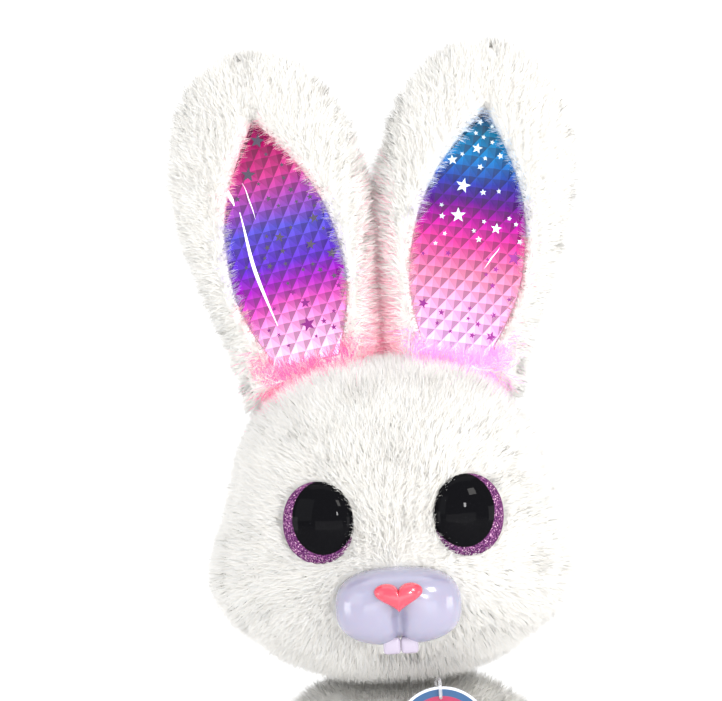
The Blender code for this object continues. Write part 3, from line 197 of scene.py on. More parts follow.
def glitter(name, pupil_x):
    """A black pupil set toward the nose on purple glitter, under a clear coat."""
    mat = material(name, (0.3, 0.1, 0.28), 0.35, Specular_IOR_Level=0.0, Coat_Weight=0.1,
                   Coat_Roughness=0.02)
    place = node(mat, "ShaderNodeTexCoord")
    cells = node(mat, "ShaderNodeTexVoronoi")
    cells.inputs["Scale"].default_value = 2600
    link(mat, place.outputs["Object"], cells.inputs["Vector"])
    grey = node(mat, "ShaderNodeSeparateColor")
    link(mat, cells.outputs["Color"], grey.inputs[0])
    # glitter flakes of random tone; the brightest, palest flecks are painted glints
    flakes_and_painted_glints = ramp(mat, [(0.0, (0.04, 0.01, 0.045)), (0.6, (0.13, 0.03, 0.13)),
                         (0.92, (0.32, 0.12, 0.28)), (1.0, (0.9, 0.6, 0.75))],
                   grey.outputs[0])
    split = node(mat, "ShaderNodeSeparateXYZ")
    link(mat, place.outputs["Object"], split.inputs[0])
    across = arithmetic(mat, "DIVIDE", arithmetic(mat, "SUBTRACT", split.outputs["X"], pupil_x),
                        11.2 * MM)
    up = arithmetic(mat, "DIVIDE", arithmetic(mat, "SUBTRACT", split.outputs["Z"], 2.2 * MM),
                    13.4 * MM)
    reach = arithmetic(mat, "ADD", arithmetic(mat, "MULTIPLY", across, across),
                       arithmetic(mat, "MULTIPLY", up, up))
    inside = ramp(mat, [(0.0, (1, 1, 1)), (0.94, (1, 1, 1)), (1.0, (0, 0, 0))], reach)
    mix = node(mat, "ShaderNodeMix", data_type="RGBA")
    link(mat, inside, mix.inputs[0])
    link(mat, flakes_and_painted_glints, mix.inputs[6])
    mix.inputs[7].default_value = (0.003, 0.003, 0.004, 1)
    link(mat, mix.outputs[2], shader_of(mat).inputs["Base Color"])
    return mat


WHITE_FUR = plush("white_fur", (0.91, 0.895, 0.865))
WARM_FUR = plush("warm_fur", (0.87, 0.845, 0.79))
COOL_FUR = plush("cool_fur", (0.84, 0.85, 0.845))
# the next five furs are white plush tinted and glowing: painted light from the lit ear windows
PAINTED_BLUSH_GLOW_FUR = plush("painted_blush_glow_fur", (0.9, 0.5, 0.58), (1.0, 0.25, 0.4), 0.25)
PAINTED_PINK_GLOW_FUR = plush("painted_pink_glow_fur", (0.9, 0.16, 0.36), (1.0, 0.12, 0.36), 0.45)
PAINTED_LILAC_GLOW_FUR = plush("painted_lilac_glow_fur", (0.85, 0.36, 0.72), (0.95, 0.3, 0.85), 0.4)
PAINTED_VIOLET_GLOW_FUR = plush("painted_violet_glow_fur", (0.74, 0.68, 0.9), (0.3, 0.15, 1.0), 0.12)
PAINTED_SKY_GLOW_FUR = plush("painted_sky_glow_fur", (0.66, 0.78, 0.92), (0.1, 0.35, 1.0), 0.12)
FURS = (WHITE_FUR, WARM_FUR, COOL_FUR, PAINTED_BLUSH_GLOW_FUR, PAINTED_PINK_GLOW_FUR, PAINTED_LILAC_GLOW_FUR, PAINTED_VIOLET_GLOW_FUR, PAINTED_SKY_GLOW_FUR)
BACKING = speckled_plush()
LAVENDER = material("lavender_gloss", (0.31, 0.305, 0.42), 0.22, Coat_Weight=0.8,
                    Coat_Roughness=0.05, Subsurface_Weight=0.15)
CORAL = material("coral_gloss", (0.7, 0.045, 0.085), 0.25, Coat_Weight=0.8, Coat_Roughness=0.05,
                 Subsurface_Weight=0.1)
IVORY = material("tooth_plastic", (0.42, 0.37, 0.47), 0.25, Coat_Weight=0.6, Coat_Roughness=0.08)
FOIL_DARK = material("foil_smoke", (0.13, 0.11, 0.16), 0.25, 0.9)
FOIL_SILVER = material("foil_silver", (0.6, 0.72, 0.78), 0.28, 0.85)
FOIL_PLUM = material("foil_plum", (0.22, 0.02, 0.2), 0.35, 0.6)
# white base and white emission on the clear film's folds: painted highlight
FILM_CREASE_PAINTED_HIGHLIGHT = material("film_crease_painted_highlight", (1.0, 0.97, 1.0), 0.12, Coat_Weight=1.0,
                       Emission_Color=(1, 0.95, 1, 1), Emission_Strength=0.5)


# ---------------------------------------------------------------- mesh helpers

def mesh_object(name, verts, faces, mats, slots=None, smooth=True):
    mesh = bpy.data.meshes.new(name)
    mesh.from_pydata([tuple(v) for v in verts], [], [tuple(f) for f in faces])
    for mat in mats:
        mesh.materials.append(mat)
    if slots is not None:
        mesh.polygons.foreach_set("material_index", np.asarray(slots, np.int32))
    if smooth:
        mesh.shade_smooth()
    mesh.update()
    obj = bpy.data.objects.new(name, mesh)
    bpy.context.scene.collection.objects.link(obj)
    return obj


def grid_faces(rows, columns, closed=True):
    """Quads between rows of columns points; closed joins each row's ends."""
    faces = []
    for i in range(rows - 1):
        for j in range(columns if closed else columns - 1):
            k = (j + 1) % columns
            faces.append((i * columns + j, i * columns + k, (i + 1) * columns + k,
                          (i + 1) * columns + j))
    return faces


def globe(name, centre, shape, mats, rings=64, segments=96):
    """A closed ball whose radius along a unit direction is shape(direction), a vector from centre."""
    verts = []
    for i in range(1, rings):
        fall = math.pi * i / rings
        for j in range(segments):
            turn = 2 * math.pi * j / segments
            out = Vector((math.sin(fall) * math.cos(turn), math.sin(fall) * math.sin(turn),
                          math.cos(fall)))
            verts.append(Vector(centre) + shape(out))
    faces = [f[::-1] for f in grid_faces(rings - 1, segments)]
    top, bottom = len(verts), len(verts) + 1
    verts += [Vector(centre) + shape(Vector((0, 0, 1))), Vector(centre) + shape(Vector((0, 0, -1)))]
    last = (rings - 2) * segments
    for j in range(segments):
        k = (j + 1) % segments
        faces += [(j, k, top), (last + k, last + j, bottom)]
    obj = mesh_object(name, verts, faces, mats)
    recalculate(obj)
    return obj


def recalculate(obj):
    bm = bmesh.new()
    bm.from_mesh(obj.data)
    bmesh.ops.recalc_face_normals(bm, faces=bm.faces)
    bm.to_mesh(obj.data)
    bm.free()


def superball(half, power):
    """The shape function of a superellipsoid."""
    def shape(out):
        size = sum(abs(c) ** power for c in out) ** (-1 / power)
        return Vector((out.x * half.x, out.y * half.y, out.z * half.z)) * size
    return shape


def hull_tree(node_name):
    bm = bmesh.new()
    bm.from_mesh(NODES[node_name].data)
    made = bmesh.ops.convex_hull(bm, input=bm.verts)
    bmesh.ops.delete(bm, geom=made["geom_interior"] + made["geom_unused"], context="VERTS")
    tree = BVHTree.FromBMesh(bm)
    bm.free()
    return tree


def wrapped(name, node_name, inset):
    """A smooth closed skin a little inside a CAD solid's outer form."""
    tree = hull_tree(node_name)
    centre = middle(node_name)

    def shape(out):
        hit = tree.ray_cast(centre + out * 0.5, -out)[0]
        return hit - centre

    obj = globe(name, centre, shape, [BACKING], 48, 72)
    bm = bmesh.new()
    bm.from_mesh(obj.data)
    for _ in range(4):
        bmesh.ops.smooth_vert(bm, verts=bm.verts, factor=0.5, use_axis_x=True, use_axis_y=True,
                              use_axis_z=True)
    bm.normal_update()
    for vert in bm.verts:
        vert.co -= vert.normal * inset
        vert.co.z = max(vert.co.z, 1 * MM)
    bm.to_mesh(obj.data)
    bm.free()
    return obj


# ---------------------------------------------------------------- fur

def waves(points, length, seed):
    """A smooth random vector field, about unit size, that changes over the given length."""
    rng = np.random.default_rng(seed)
    field = np.zeros_like(points)
    for _ in range(5):
        way = rng.normal(size=3)
        way *= 2 * math.pi / length / np.linalg.norm(way) * rng.uniform(0.6, 1.5)
        field += np.sin(points @ way + rng.uniform(0, 6.28))[:, None] * rng.normal(size=3)
    return field / math.sqrt(5)


def unit(vectors):
    return vectors / np.maximum(np.linalg.norm(vectors, axis=1, keepdims=True), 1e-9)


def scatter(skin, per_mm2):
    """Random points on a mesh with their smooth normals."""
    mesh = skin.data
    mesh.calc_loop_triangles()
    count = len(mesh.loop_triangles)
    corners = np.empty(count * 3, np.int32)
    mesh.loop_triangles.foreach_get("vertices", corners)
    corners = corners.reshape(-1, 3)
    place = np.empty(len(mesh.vertices) * 3)
    mesh.vertices.foreach_get("co", place)
    place = place.reshape(-1, 3)
    normals = np.empty(len(mesh.vertices) * 3, np.float32)
    mesh.vertex_normals.foreach_get("vector", normals)
    normals = normals.reshape(-1, 3).astype(float)
    a, b, c = (place[corners[:, k]] for k in range(3))
    area = np.linalg.norm(np.cross(b - a, c - a), axis=1) / 2
    total = int(area.sum() / MM ** 2 * per_mm2 / (1))
    chosen = RNG.choice(count, total, p=area / area.sum())
    u, v = RNG.random(total), RNG.random(total)
    flip = u + v > 1
    u[flip], v[flip] = 1 - u[flip], 1 - v[flip]
    weights = np.stack([1 - u - v, u, v], 1)
    mix = [(place[corners[chosen]] * weights[:, :, None]).sum(1),
           (normals[corners[chosen]] * weights[:, :, None]).sum(1)]
    return mix[0], unit(mix[1])


def grow_fur(name, body, roots, normals, comb, length, lean, tints=None, pieces=1):
    """Blades of pile: each leans along comb, in loose tufts, and faces away from the skin."""
    count = len(roots)
    comb = unit(comb - normals * (comb * normals).sum(1, keepdims=True))
    comb = comb + 0.25 * waves(roots, WAVE, 3) + 0.5 * waves(roots, TUFT, 4)
    comb = comb + 0.4 * RNG.normal(size=(count, 3))
    comb = comb - normals * (comb * normals).sum(1, keepdims=True)
    way = unit(normals + lean * comb)
    size = length * RNG.uniform(0.72, 1.18, (count, 1)) * (1 + 0.06 * waves(roots, 9 * MM, 5)[:, :1])
    across = unit(np.cross(way, normals) + 0.02 * RNG.normal(size=(count, 3)))
    wide = BLADE_WIDTH * RNG.uniform(0.7, 1.3, (count, 1))
    knee = roots + way * size * 0.5
    tip = knee + unit(way + 0.35 * lean * comb - 0.12 * normals) * size * 0.5
    for points in (knee, tip):
        points[:, 2] = np.maximum(points[:, 2], 0.5 * MM)
    verts = np.stack([roots - across * wide / 2, roots + across * wide / 2,
                      knee + across * wide * 0.38, knee - across * wide * 0.38, tip], 1)
    face = np.cross(verts[:, 1] - verts[:, 0], verts[:, 4] - verts[:, 0])
    swap = (face * normals).sum(1) < 0
    verts[swap] = verts[swap][:, [1, 0, 3, 2, 4]]
    shade = unit(normals + 0.15 * unit(way) + 0.1 * RNG.normal(size=(count, 3)))
    slots = default_tints(count) if tints is None else tints
    turn = np.arctan2(roots[:, 0], -roots[:, 1]) + 1e-6 * roots[:, 2]
    order = np.argsort(turn, kind="stable")
    for k, part in enumerate(np.array_split(order, pieces)):
        label = name if pieces == 1 else f"{name}_{k + 1}"
        fur = blade_mesh(label, verts[part], shade[part], slots[part])
        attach(fur, body)


def default_tints(count):
    """Random slots of the three white furs."""
    return RNG.choice(3, count, p=(0.6, 0.25, 0.15)).astype(np.int32)


def blade_mesh(name, verts, shade, slots):
    """One mesh of five-point blades: a quad from root to knee and a triangle to the tip."""
    count = len(verts)
    mesh = bpy.data.meshes.new(name)
    mesh.vertices.add(count * 5)
    mesh.vertices.foreach_set("co", verts.reshape(-1).astype(np.float32))
    start = np.arange(count, dtype=np.int32)[:, None] * 5
    corners = start + np.array([0, 1, 2, 3, 3, 2, 4], np.int32)
    mesh.loops.add(count * 7)
    mesh.loops.foreach_set("vertex_index", corners.reshape(-1))
    mesh.polygons.add(count * 2)
    first = np.arange(count, dtype=np.int32)[:, None] * 7 + np.array([0, 4], np.int32)
    mesh.polygons.foreach_set("loop_start", first.reshape(-1))
    for mat in FURS:
        mesh.materials.append(mat)
    mesh.polygons.foreach_set("material_index", np.repeat(slots, 2).astype(np.int32))
    mesh.update(calc_edges=True)
    mesh.shade_smooth()
    mesh.normals_split_custom_set_from_vertices(np.repeat(shade, 5, axis=0).tolist())
    obj = bpy.data.objects.new(name, mesh)
    bpy.context.scene.collection.objects.link(obj)
    return obj


def painted_glow_tints(points):
    """Slots of FURS with painted glow: near the lit feet of the windows the fur turns pink or lilac,
    painted light from the windows.
    """
    slots = default_tints(len(points))
    for name, side in SIDES:
        local = to_ear(points, side)
        drop = np.maximum(np.abs(local[:, 2] - GLOW_Z) - GLOW_HALF_HIGH, 0) / (7 * MM)
        aside = np.maximum(np.abs(local[:, 0]) - GLOW_HALF_WIDE, 0) / (6 * MM)
        front = np.clip((local[:, 1] + 4 * MM) / (5 * MM), 0, 4)
        ahead = np.maximum(-local[:, 1] - GLOW_FRONT, 0) / (9 * MM)
        near = np.exp(-(drop ** 2 + aside ** 2 + ahead ** 2)) * np.exp(-front)
        draw = RNG.random(len(points))
        above = np.maximum(local[:, 2] - GLOW_Z, 0) / (26 * MM)
        # fur between the ears turns blush: painted glow over the shaded gap there
        between = (np.abs(points[:, 0]) < 9 * MM) & (local[:, 2] > 0)
        slots[between & (draw < 0.6 * np.exp(-above - ahead ** 2 - front))] = 3
        slots[draw < near * 0.95] = 3
        slots[draw < near * 0.7] = 4 if side < 0 else 5
        # fur on the window rims turns blush, violet or sky by height: painted light from the window
        # beside it
        share = (local[:, 2] - WINDOW_LOW) / (WINDOW_HIGH - WINDOW_LOW)
        edge = np.abs(local[:, 0]) - window_half(local[:, 2])
        rim = (local[:, 1] < -4 * MM) & (edge < 4.5 * MM) & (share > 0.03) & (share < 1)
        chance = np.exp(-(np.maximum(edge, 0) / (2.2 * MM)) ** 2)
        low, high = (0.28, 0.62) if side < 0 else (0.5, 0.64)
        for slot, first, last in ((3, 0, low), (6, low, high), (3 if side < 0 else 7, high, 1)):
            slots[rim & (share >= first) & (share < last) & (draw < chance * 0.75)] = slot
    return slots


# ---------------------------------------------------------------- ear frame

def ear_matrix(side):
    """Places the ear frame of one side in the pet's frame."""
    base = Matrix.Translation((side * EAR_BASE.x, 0, EAR_BASE.z))
    return base @ Matrix.Rotation(side * EAR_LEAN, 4, "Y")


def to_ear(points, side):
    back = np.array(ear_matrix(side).inverted())
    return points @ back[:3, :3].T + back[:3, 3]


def from_ear(points, side):
    turn = np.array(ear_matrix(side))
    return points @ turn[:3, :3].T + turn[:3, 3]


def window_half(z):
    """The window's half width at height z, 0 outside it."""
    share = np.clip((z - WINDOW_LOW) / (WINDOW_HIGH - WINDOW_LOW), 0, 1)
    low = WINDOW_FOOT + (1 - WINDOW_FOOT) * np.sin(math.pi / 2 * np.minimum(share / WINDOW_WIDEST, 1))
    fall = np.clip((share - WINDOW_WIDEST) / (1 - WINDOW_WIDEST), 0, 1)
    half = np.where(share < WINDOW_WIDEST, low, np.cos(math.pi / 2 * fall ** 1.3))
    return np.where((z < WINDOW_LOW) | (z > WINDOW_HIGH), 0, WINDOW_HALF * half)


def window_loop(grow, count):
    """The window's outline as (x, z) points, grown outward."""
    z = np.linspace(WINDOW_LOW, WINDOW_HIGH, count)
    half = window_half(z)
    side = np.stack([half + grow, z], 1)
    side[0, 1] -= grow
    tip = np.array([[0, WINDOW_HIGH + 1.6 * grow]])
    return np.concatenate([side[:-1], tip, side[:-1][::-1] * (-1, 1)])


def ear_loop(inset, count):
    """The ear's outline as (x, z) points, drawn in by inset."""
    top, foot = EAR_LENGTH - inset, -6 * MM
    z = foot + (top - foot) * np.sin(np.linspace(0, math.pi / 2, count))
    rise = np.clip(z / EAR_WIDEST, 0, 1)
    low = EAR_FOOT + (EAR_WIDE - EAR_FOOT) * rise * rise * (3 - 2 * rise)
    high = np.clip((z - EAR_WIDEST) / (top - EAR_WIDEST), 0, 1)
    half = np.where(z < EAR_WIDEST, low, EAR_WIDE * (1 - high ** 2.2) ** (1 / 2.2)) - inset
    side = np.stack([np.maximum(half, 0), z], 1)
    return np.concatenate([side[:-1], [[0, top]], side[:-1][::-1] * (-1, 1)])


def by_angle(loop, turns, centre):
    """The outline's points along rays at the given turns about centre."""
    steps = np.linspace(0, 1, 12, endpoint=False)[:, None, None]
    after = np.roll(loop, -1, axis=0)
    dense = (loop[None] * (1 - steps) + after[None] * steps).reshape(-1, 2) - centre
    angle = np.arctan2(dense[:, 0], dense[:, 1])
    reach = np.hypot(dense[:, 0], dense[:, 1])
    order = np.argsort(angle)
    radius = np.interp(turns, angle[order], reach[order], period=2 * math.pi)
    return centre + np.stack([np.sin(turns), np.cos(turns)], 1) * radius[:, None]


def clear_of_head(points, gap):
    """Points pushed out from the ears' axis until a rocking ear clears the head."""
    arm = points[:, 1:] - np.array(PIVOT[1:])
    reach = np.hypot(arm[:, 0], arm[:, 1])
    rest = np.clip(1 - (np.abs(points[:, 0]) / HEAD_HALF.x) ** HEAD_POWER, 0, 1)
    crown = HEAD_MIDDLE.z + HEAD_HALF.z * rest ** (1 / HEAD_POWER) - PIVOT.z
    wanted = np.maximum(reach, crown + gap)
    near = np.abs(arm[:, 0]) < 20 * MM
    scale = np.where(near & (arm[:, 1] > 0), wanted / np.maximum(reach, 1e-6), 1)
    moved = points.copy()
    moved[:, 1:] = np.array(PIVOT[1:]) + arm * scale[:, None]
    return moved


def ear_skin(name, side):
    """The plush around one window: from the pocket's wall over the rim and round the back."""
    turns = np.linspace(-math.pi, math.pi, 180, endpoint=False)
    centre = np.array([0, 57 * MM])
    window = by_angle(window_loop(0.6 * MM, 60), turns, centre)
    outer = by_angle(ear_loop(1.2 * MM, 60), turns, centre)
    stations = [(-0.02, -6.4), (0.0, -8.6), (0.1, -9.9), (0.35, -10.4), (0.65, -9.4),
                (0.88, -6.6), (1.0, -2.6), (1.0, 1.2), (0.88, 5.2), (0.6, 8.0), (0.2, 9.4)]
    rows = []
    for share, depth in stations:
        flat = window + (outer - window) * share
        thin = np.clip(0.8 + 0.2 * flat[:, 1] / (45 * MM), 0.8, 1)
        rows.append(np.stack([flat[:, 0], depth * MM * thin, flat[:, 1]], 1))
    back = centre + (window - centre) * 0.45
    rows.append(np.stack([back[:, 0], np.full(len(back), 9.8 * MM), back[:, 1]], 1))
    points = from_ear(np.concatenate(rows), side)
    points = clear_of_head(points, 3.5 * MM)
    faces = grid_faces(len(rows), len(turns))
    faces.append(tuple(range((len(rows) - 1) * len(turns), len(rows) * len(turns))))
    obj = mesh_object(name, points, faces, [BACKING])
    recalculate(obj)
    return obj


# ---------------------------------------------------------------- soft pieces

def make_head():
    def shape(out):
        place = superball(HEAD_HALF - Vector((1, 1, 1)) * ROOT_DEPTH, HEAD_POWER)(out)
        swell = math.exp(-((place.z + CHEEK_DROP) / CHEEK_SPREAD) ** 2)
        place.x *= 1 + CHEEK_SWELL * swell
        return place

    skin = globe("head_plush", HEAD_MIDDLE, shape, [BACKING], 80, 120)
    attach(skin, "head")
    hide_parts("head_skin")
    roots, normals = scatter(skin, HEAD_DENSITY)
    keep = np.ones(len(roots), bool)
    for name, side in SIDES:
        x = roots[:, 0] - side * EYE_REST.x
        z = roots[:, 2] - EYE_REST.z
        wide = np.where(x * side < 0, EYE_HALF.x - 2.2 * MM, EYE_HALF.x - 0.6 * MM)
        keep &= ~((roots[:, 1] < 0) & ((x / wide) ** 2 + (z / (EYE_HALF.z - 1 * MM)) ** 2 < 1))
    x, z = roots[:, 0], roots[:, 2] - MUZZLE_AT.z
    lobes = (np.abs(x) / MUZZLE_HALF.x) ** 2.6 + (np.abs(z) / MUZZLE_HALF.z) ** 2.6 < 1
    mouth = (np.abs(x) < 7.5 * MM) & (z > -20 * MM) & (z < 0)
    keep &= ~((roots[:, 1] < 0) & (lobes | mouth))
    keep &= ~((normals[:, 2] < -0.86) & (np.hypot(roots[:, 0], roots[:, 1]) < 24 * MM))
    roots, normals = roots[keep], normals[keep]
    comb = roots - np.array([0, -75 * MM, NOSE_Z])
    back = np.clip(roots[:, 1:2] / (40 * MM) + 0.2, 0, 1)
    comb = unit(comb) * (1 - back) + np.array([0, 0, -1.0]) * back
    x, z = np.abs(roots[:, 0]), roots[:, 2]
    rim = np.hypot(x / MUZZLE_HALF.x, (z - MUZZLE_AT.z) / MUZZLE_HALF.z)
    near = (roots[:, 1] < 0) & (rim < 1.5)
    length = np.where(near, PILE * (0.55 + 0.9 * np.clip(rim - 1, 0, 0.5)), PILE)[:, None]
    ears = np.minimum(*(np.abs(to_ear(roots, side)[:, 2] - 2 * MM) for name, side in SIDES))
    length = length * np.where(ears < 12 * MM, 1.15, 1)[:, None]
    grow_fur("head_fur", "head", roots, normals, comb, length, 0.5, painted_glow_tints(roots), pieces=5)


def make_ear_plush(name, side):
    skin = ear_skin(f"{name}_ear_plush", side)
    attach(skin, f"{name}_ear")
    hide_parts(f"{name}_ear_skin")
    roots, normals = scatter(skin, EAR_DENSITY)
    local = to_ear(roots, side)
    keep = (local[:, 1] > -8.0 * MM) | (np.abs(local[:, 0]) > window_half(local[:, 2]))
    pocket = (local[:, 1] < 0) & (np.abs(local[:, 0]) < window_half(local[:, 2]) + 0.9 * MM)
    keep &= ~(pocket & (local[:, 1] > -7.6 * MM))
    roots, normals, local = roots[keep], normals[keep], local[keep]
    from_middle = np.stack([local[:, 0] * 1.6, np.zeros(len(local)), local[:, 2] - 45 * MM], 1)
    comb = unit(from_middle) + np.array([0, 0, 0.5])
    foot = (local[:, 1] < -5 * MM) & (np.abs(local[:, 2] - WINDOW_LOW + 2 * MM) < 3.5 * MM)
    comb[foot] = (0, -0.3, 1)
    inner = np.exp(-(roots[:, 0] / (6 * MM)) ** 2)[:, None]
    comb = comb + inner * np.array([-1.6 * side, 0, 0])
    turn = np.array(ear_matrix(side))[:3, :3]
    edge = np.abs(local[:, 0]) - window_half(local[:, 2])
    by_window = (local[:, 1] < -5 * MM) & (edge < 3.5 * MM)
    length = np.where(by_window, 4.2 * MM, 6.2 * MM)[:, None] * (1 + 0.5 * inner)
    length[foot] = 7 * MM
    lean = np.where(by_window, 0.3, 0.6)[:, None]
    lean[foot] = 1.6
    grow_fur(f"{name}_ear_fur", f"{name}_ear", roots, normals, comb @ turn.T, length, lean,
             painted_glow_tints(roots), pieces=2)


def make_soft(node_name, body, inset, per_mm2, comb_of, length, pieces=1):
    """A skin just inside one CAD solid's form, with pile everywhere but on its sole."""
    skin = wrapped(f"{node_name}_plush", node_name, inset)
    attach(skin, body)
    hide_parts(node_name)
    roots, normals = scatter(skin, per_mm2)
    keep = ~((normals[:, 2] < -0.8) & (roots[:, 2] < 6 * MM))
    roots, normals = roots[keep], normals[keep]
    grow_fur(f"{node_name}_fur", body, roots, normals, comb_of(roots), length, 0.8, pieces=pieces)


def downward(roots):
    """Pile that lies straight down, as on the body and the arms."""
    return np.tile((0.0, 0.0, -1.0), (len(roots), 1))


def outward(centre):
    """Pile that lies away from a point, as on the feet and the tail."""
    return lambda roots: roots - np.array(centre)


# ---------------------------------------------------------------- lit ears

def quilt(name, side, mat):
    """Rows of four-sided pyramids, staggered and clipped to the window's outline."""
    verts, faces = [], []
    rise = 1.3 * MM
    rows = int((WINDOW_HIGH - WINDOW_LOW) / CELL_TALL * 2) + 2
    columns = int(WINDOW_HALF / CELL_WIDE) + 2
    for i in range(rows):
        z = WINDOW_LOW + i * CELL_TALL / 2
        for j in range(-columns, columns + 1):
            x = (j + (i % 2) / 2) * CELL_WIDE
            half = float(window_half(np.array(min(max(z, WINDOW_LOW), WINDOW_HIGH))))
            if abs(x) > half + CELL_WIDE:
                continue
            base = [(x, z - CELL_TALL / 2), (x + CELL_WIDE / 2, z), (x, z + CELL_TALL / 2),
                    (x - CELL_WIDE / 2, z)]
            first = len(verts)
            for bx, bz in base:
                bz = min(max(bz, WINDOW_LOW), WINDOW_HIGH)
                limit = float(window_half(np.array(bz)))
                verts.append((min(max(bx, -limit), limit), FILM_Y + 1.5 * MM, bz))
            peak_z = min(max(z, WINDOW_LOW), WINDOW_HIGH)
            limit = float(window_half(np.array(peak_z)))
            verts.append((min(max(x, -limit), limit), FILM_Y + 1.5 * MM - rise, peak_z))
            for k in range(4):
                faces.append((first + k, first + (k + 1) % 4, first + 4))
    obj = mesh_object(name, verts, faces, [mat], smooth=False)
    bm = bmesh.new()
    bm.from_mesh(obj.data)
    bmesh.ops.dissolve_degenerate(bm, edges=bm.edges, dist=0.01 * MM)
    for face in bm.faces:
        face.normal_update()
        if face.normal.y > 0:
            face.normal_flip()
    bm.to_mesh(obj.data)
    bm.free()
    obj.matrix_world = ear_matrix(side)
    return obj


def star(centre, radius, turn, y):
    points = [(centre[0], y, centre[1])]
    for k in range(10):
        reach = radius * (1 if k % 2 == 0 else 0.42)
        angle = turn + math.pi * k / 5
        points.append((centre[0] + reach * math.sin(angle), y, centre[1] + reach * math.cos(angle)))
    return points


def make_stars(name, side, slot_of):
    """Foil stars scattered between the film and the quilt, a few large and many small."""
    rng = np.random.default_rng(5 + side)
    verts, faces, slots = [], [], []
    placed = []
    sizes = [3.1 * MM] * 3 + [2.2 * MM] * 5 + [1.35 * MM] * 14 + [1.0 * MM] * 22
    for radius in sizes:
        for _ in range(60):
            z = rng.uniform(WINDOW_LOW + 7 * MM, WINDOW_HIGH - 3 * MM)
            room = float(window_half(np.array(z))) - radius
            x = rng.uniform(-1, 1) * max(room, 0)
            clear = all(math.hypot(x - a, z - b) > radius + c + 1.2 * MM for a, b, c in placed)
            if room > 0 and clear:
                break
        else:
            continue
        placed.append((x, z, radius))
        first = len(verts)
        verts += star((x, z), radius, rng.uniform(-0.4, 0.4), FILM_Y + 0.3 * MM)
        faces += [(first, first + 1 + k, first + 1 + (k + 1) % 10) for k in range(10)]
        slots += [slot_of((z - WINDOW_LOW) / (WINDOW_HIGH - WINDOW_LOW))] * 10
    obj = mesh_object(f"{name}_ear_stars", verts, faces, [FOIL_DARK, FOIL_SILVER, FOIL_PLUM],
                      slots, smooth=False)
    obj.matrix_world = ear_matrix(side)
    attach(obj, f"{name}_ear")


def crease(name, side, start, end, width, bow):
    """A raised fold in the clear film, white and glowing along its length: a painted highlight where
    the fold would catch the light.
    """
    verts, rows = [], 24
    for i in range(rows):
        t = i / (rows - 1)
        x = start[0] + (end[0] - start[0]) * t + bow * math.sin(math.pi * t)
        x += 0.25 * MM * math.sin(9 * t) * (1 - t)
        z = start[1] + (end[1] - start[1]) * t
        wide = width * (0.15 + math.sin(math.pi * min(t * 0.85 + 0.08, 1)) ** 1.5)
        for j in range(5):
            turn = math.pi * j / 4
            verts.append((x - wide * math.cos(turn), FILM_Y - 0.35 * MM * math.sin(turn), z))
    obj = mesh_object(name, verts, grid_faces(rows, 5, closed=False), [FILM_CREASE_PAINTED_HIGHLIGHT])
    obj.matrix_world = ear_matrix(side)
    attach(obj, "left_ear" if side > 0 else "right_ear")


def make_light_ears():
    right = lit_film("right_glow", [
        (0.0, (1.0, 0.55, 0.8)), (0.12, (1.0, 0.42, 0.78)), (0.24, (0.95, 0.1, 0.62)),
        (0.33, (0.55, 0.0, 0.72)), (0.42, (0.16, 0.02, 0.8)), (0.56, (0.12, 0.1, 0.85)),
        (0.68, (0.5, 0.08, 0.62)), (0.78, (0.85, 0.05, 0.35)), (0.9, (0.6, 0.0, 0.16)),
        (1.0, (0.42, 0.0, 0.13))],
        [(0.0, 0.8), (0.15, 0.6), (0.3, 0.42), (0.5, 0.42), (0.75, 0.42), (1.0, 0.28)])
    left = lit_film("left_glow", [
        (0.0, (0.95, 0.5, 1.0)), (0.15, (1.0, 0.45, 0.8)), (0.32, (1.0, 0.28, 0.5)),
        (0.46, (1.0, 0.05, 0.42)), (0.54, (0.7, 0.0, 0.5)), (0.62, (0.18, 0.0, 0.45)),
        (0.7, (0.03, 0.06, 0.6)), (0.8, (0.0, 0.28, 0.75)), (0.9, (0.0, 0.32, 0.62)),
        (1.0, (0.02, 0.04, 0.2))],
        [(0.0, 0.8), (0.2, 0.66), (0.45, 0.5), (0.6, 0.34), (0.8, 0.4), (1.0, 0.2)])
    for (name, side), mat in zip(SIDES, (left, right)):
        glow = quilt(f"{name}_ear_quilt", side, mat)
        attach(glow, f"{name}_ear")
        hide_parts(f"{name}_ear_diffuser", f"{name}_ear_window")
    make_stars("right", -1, lambda share: 0 if share > 0.3 else 2)
    make_stars("left", 1, lambda share: 1 if share > 0.42 else 2)
    crease("right_ear_crease_long", -1, (-13 * MM, 72 * MM), (-8.5 * MM, 25 * MM), 0.6 * MM,
           -1.5 * MM)
    crease("right_ear_crease_thin", -1, (-9.5 * MM, 83 * MM), (-7.6 * MM, 68 * MM), 0.2 * MM,
           0.4 * MM)
    crease("right_ear_crease_top", -1, (-17 * MM, 84 * MM), (-14.5 * MM, 75 * MM), 0.8 * MM,
           0.3 * MM)
    crease("left_ear_crease", 1, (12 * MM, 52 * MM), (7 * MM, 43 * MM), 0.25 * MM, 0.0)


# ---------------------------------------------------------------- face

def make_eyes():
    """Glossy domes, turned a little outward, with their rear half flattened."""
    for name, side in SIDES:
        mat = glitter(f"{name}_iris", -side * 3.2 * MM)
        half = EYE_HALF

        def shape(out, half=half):
            place = superball(half, 2.1)(out)
            return Vector((place.x, place.y * (1.0 if place.y < 0 else 0.35), place.z))

        eye = globe(f"{name}_eye", (0, 0, 0), shape, [mat], 64, 96)
        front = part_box(f"{name}_eye_lens")[0][1] + EYE_HALF.y
        eye.matrix_world = (Matrix.Translation((side * EYE_REST.x, front, EYE_REST.z))
                            @ Matrix.Rotation(side * EYE_YAW, 4, "Z"))
        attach(eye, "head")
        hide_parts(f"{name}_eye_lens", f"{name}_eye_iris")


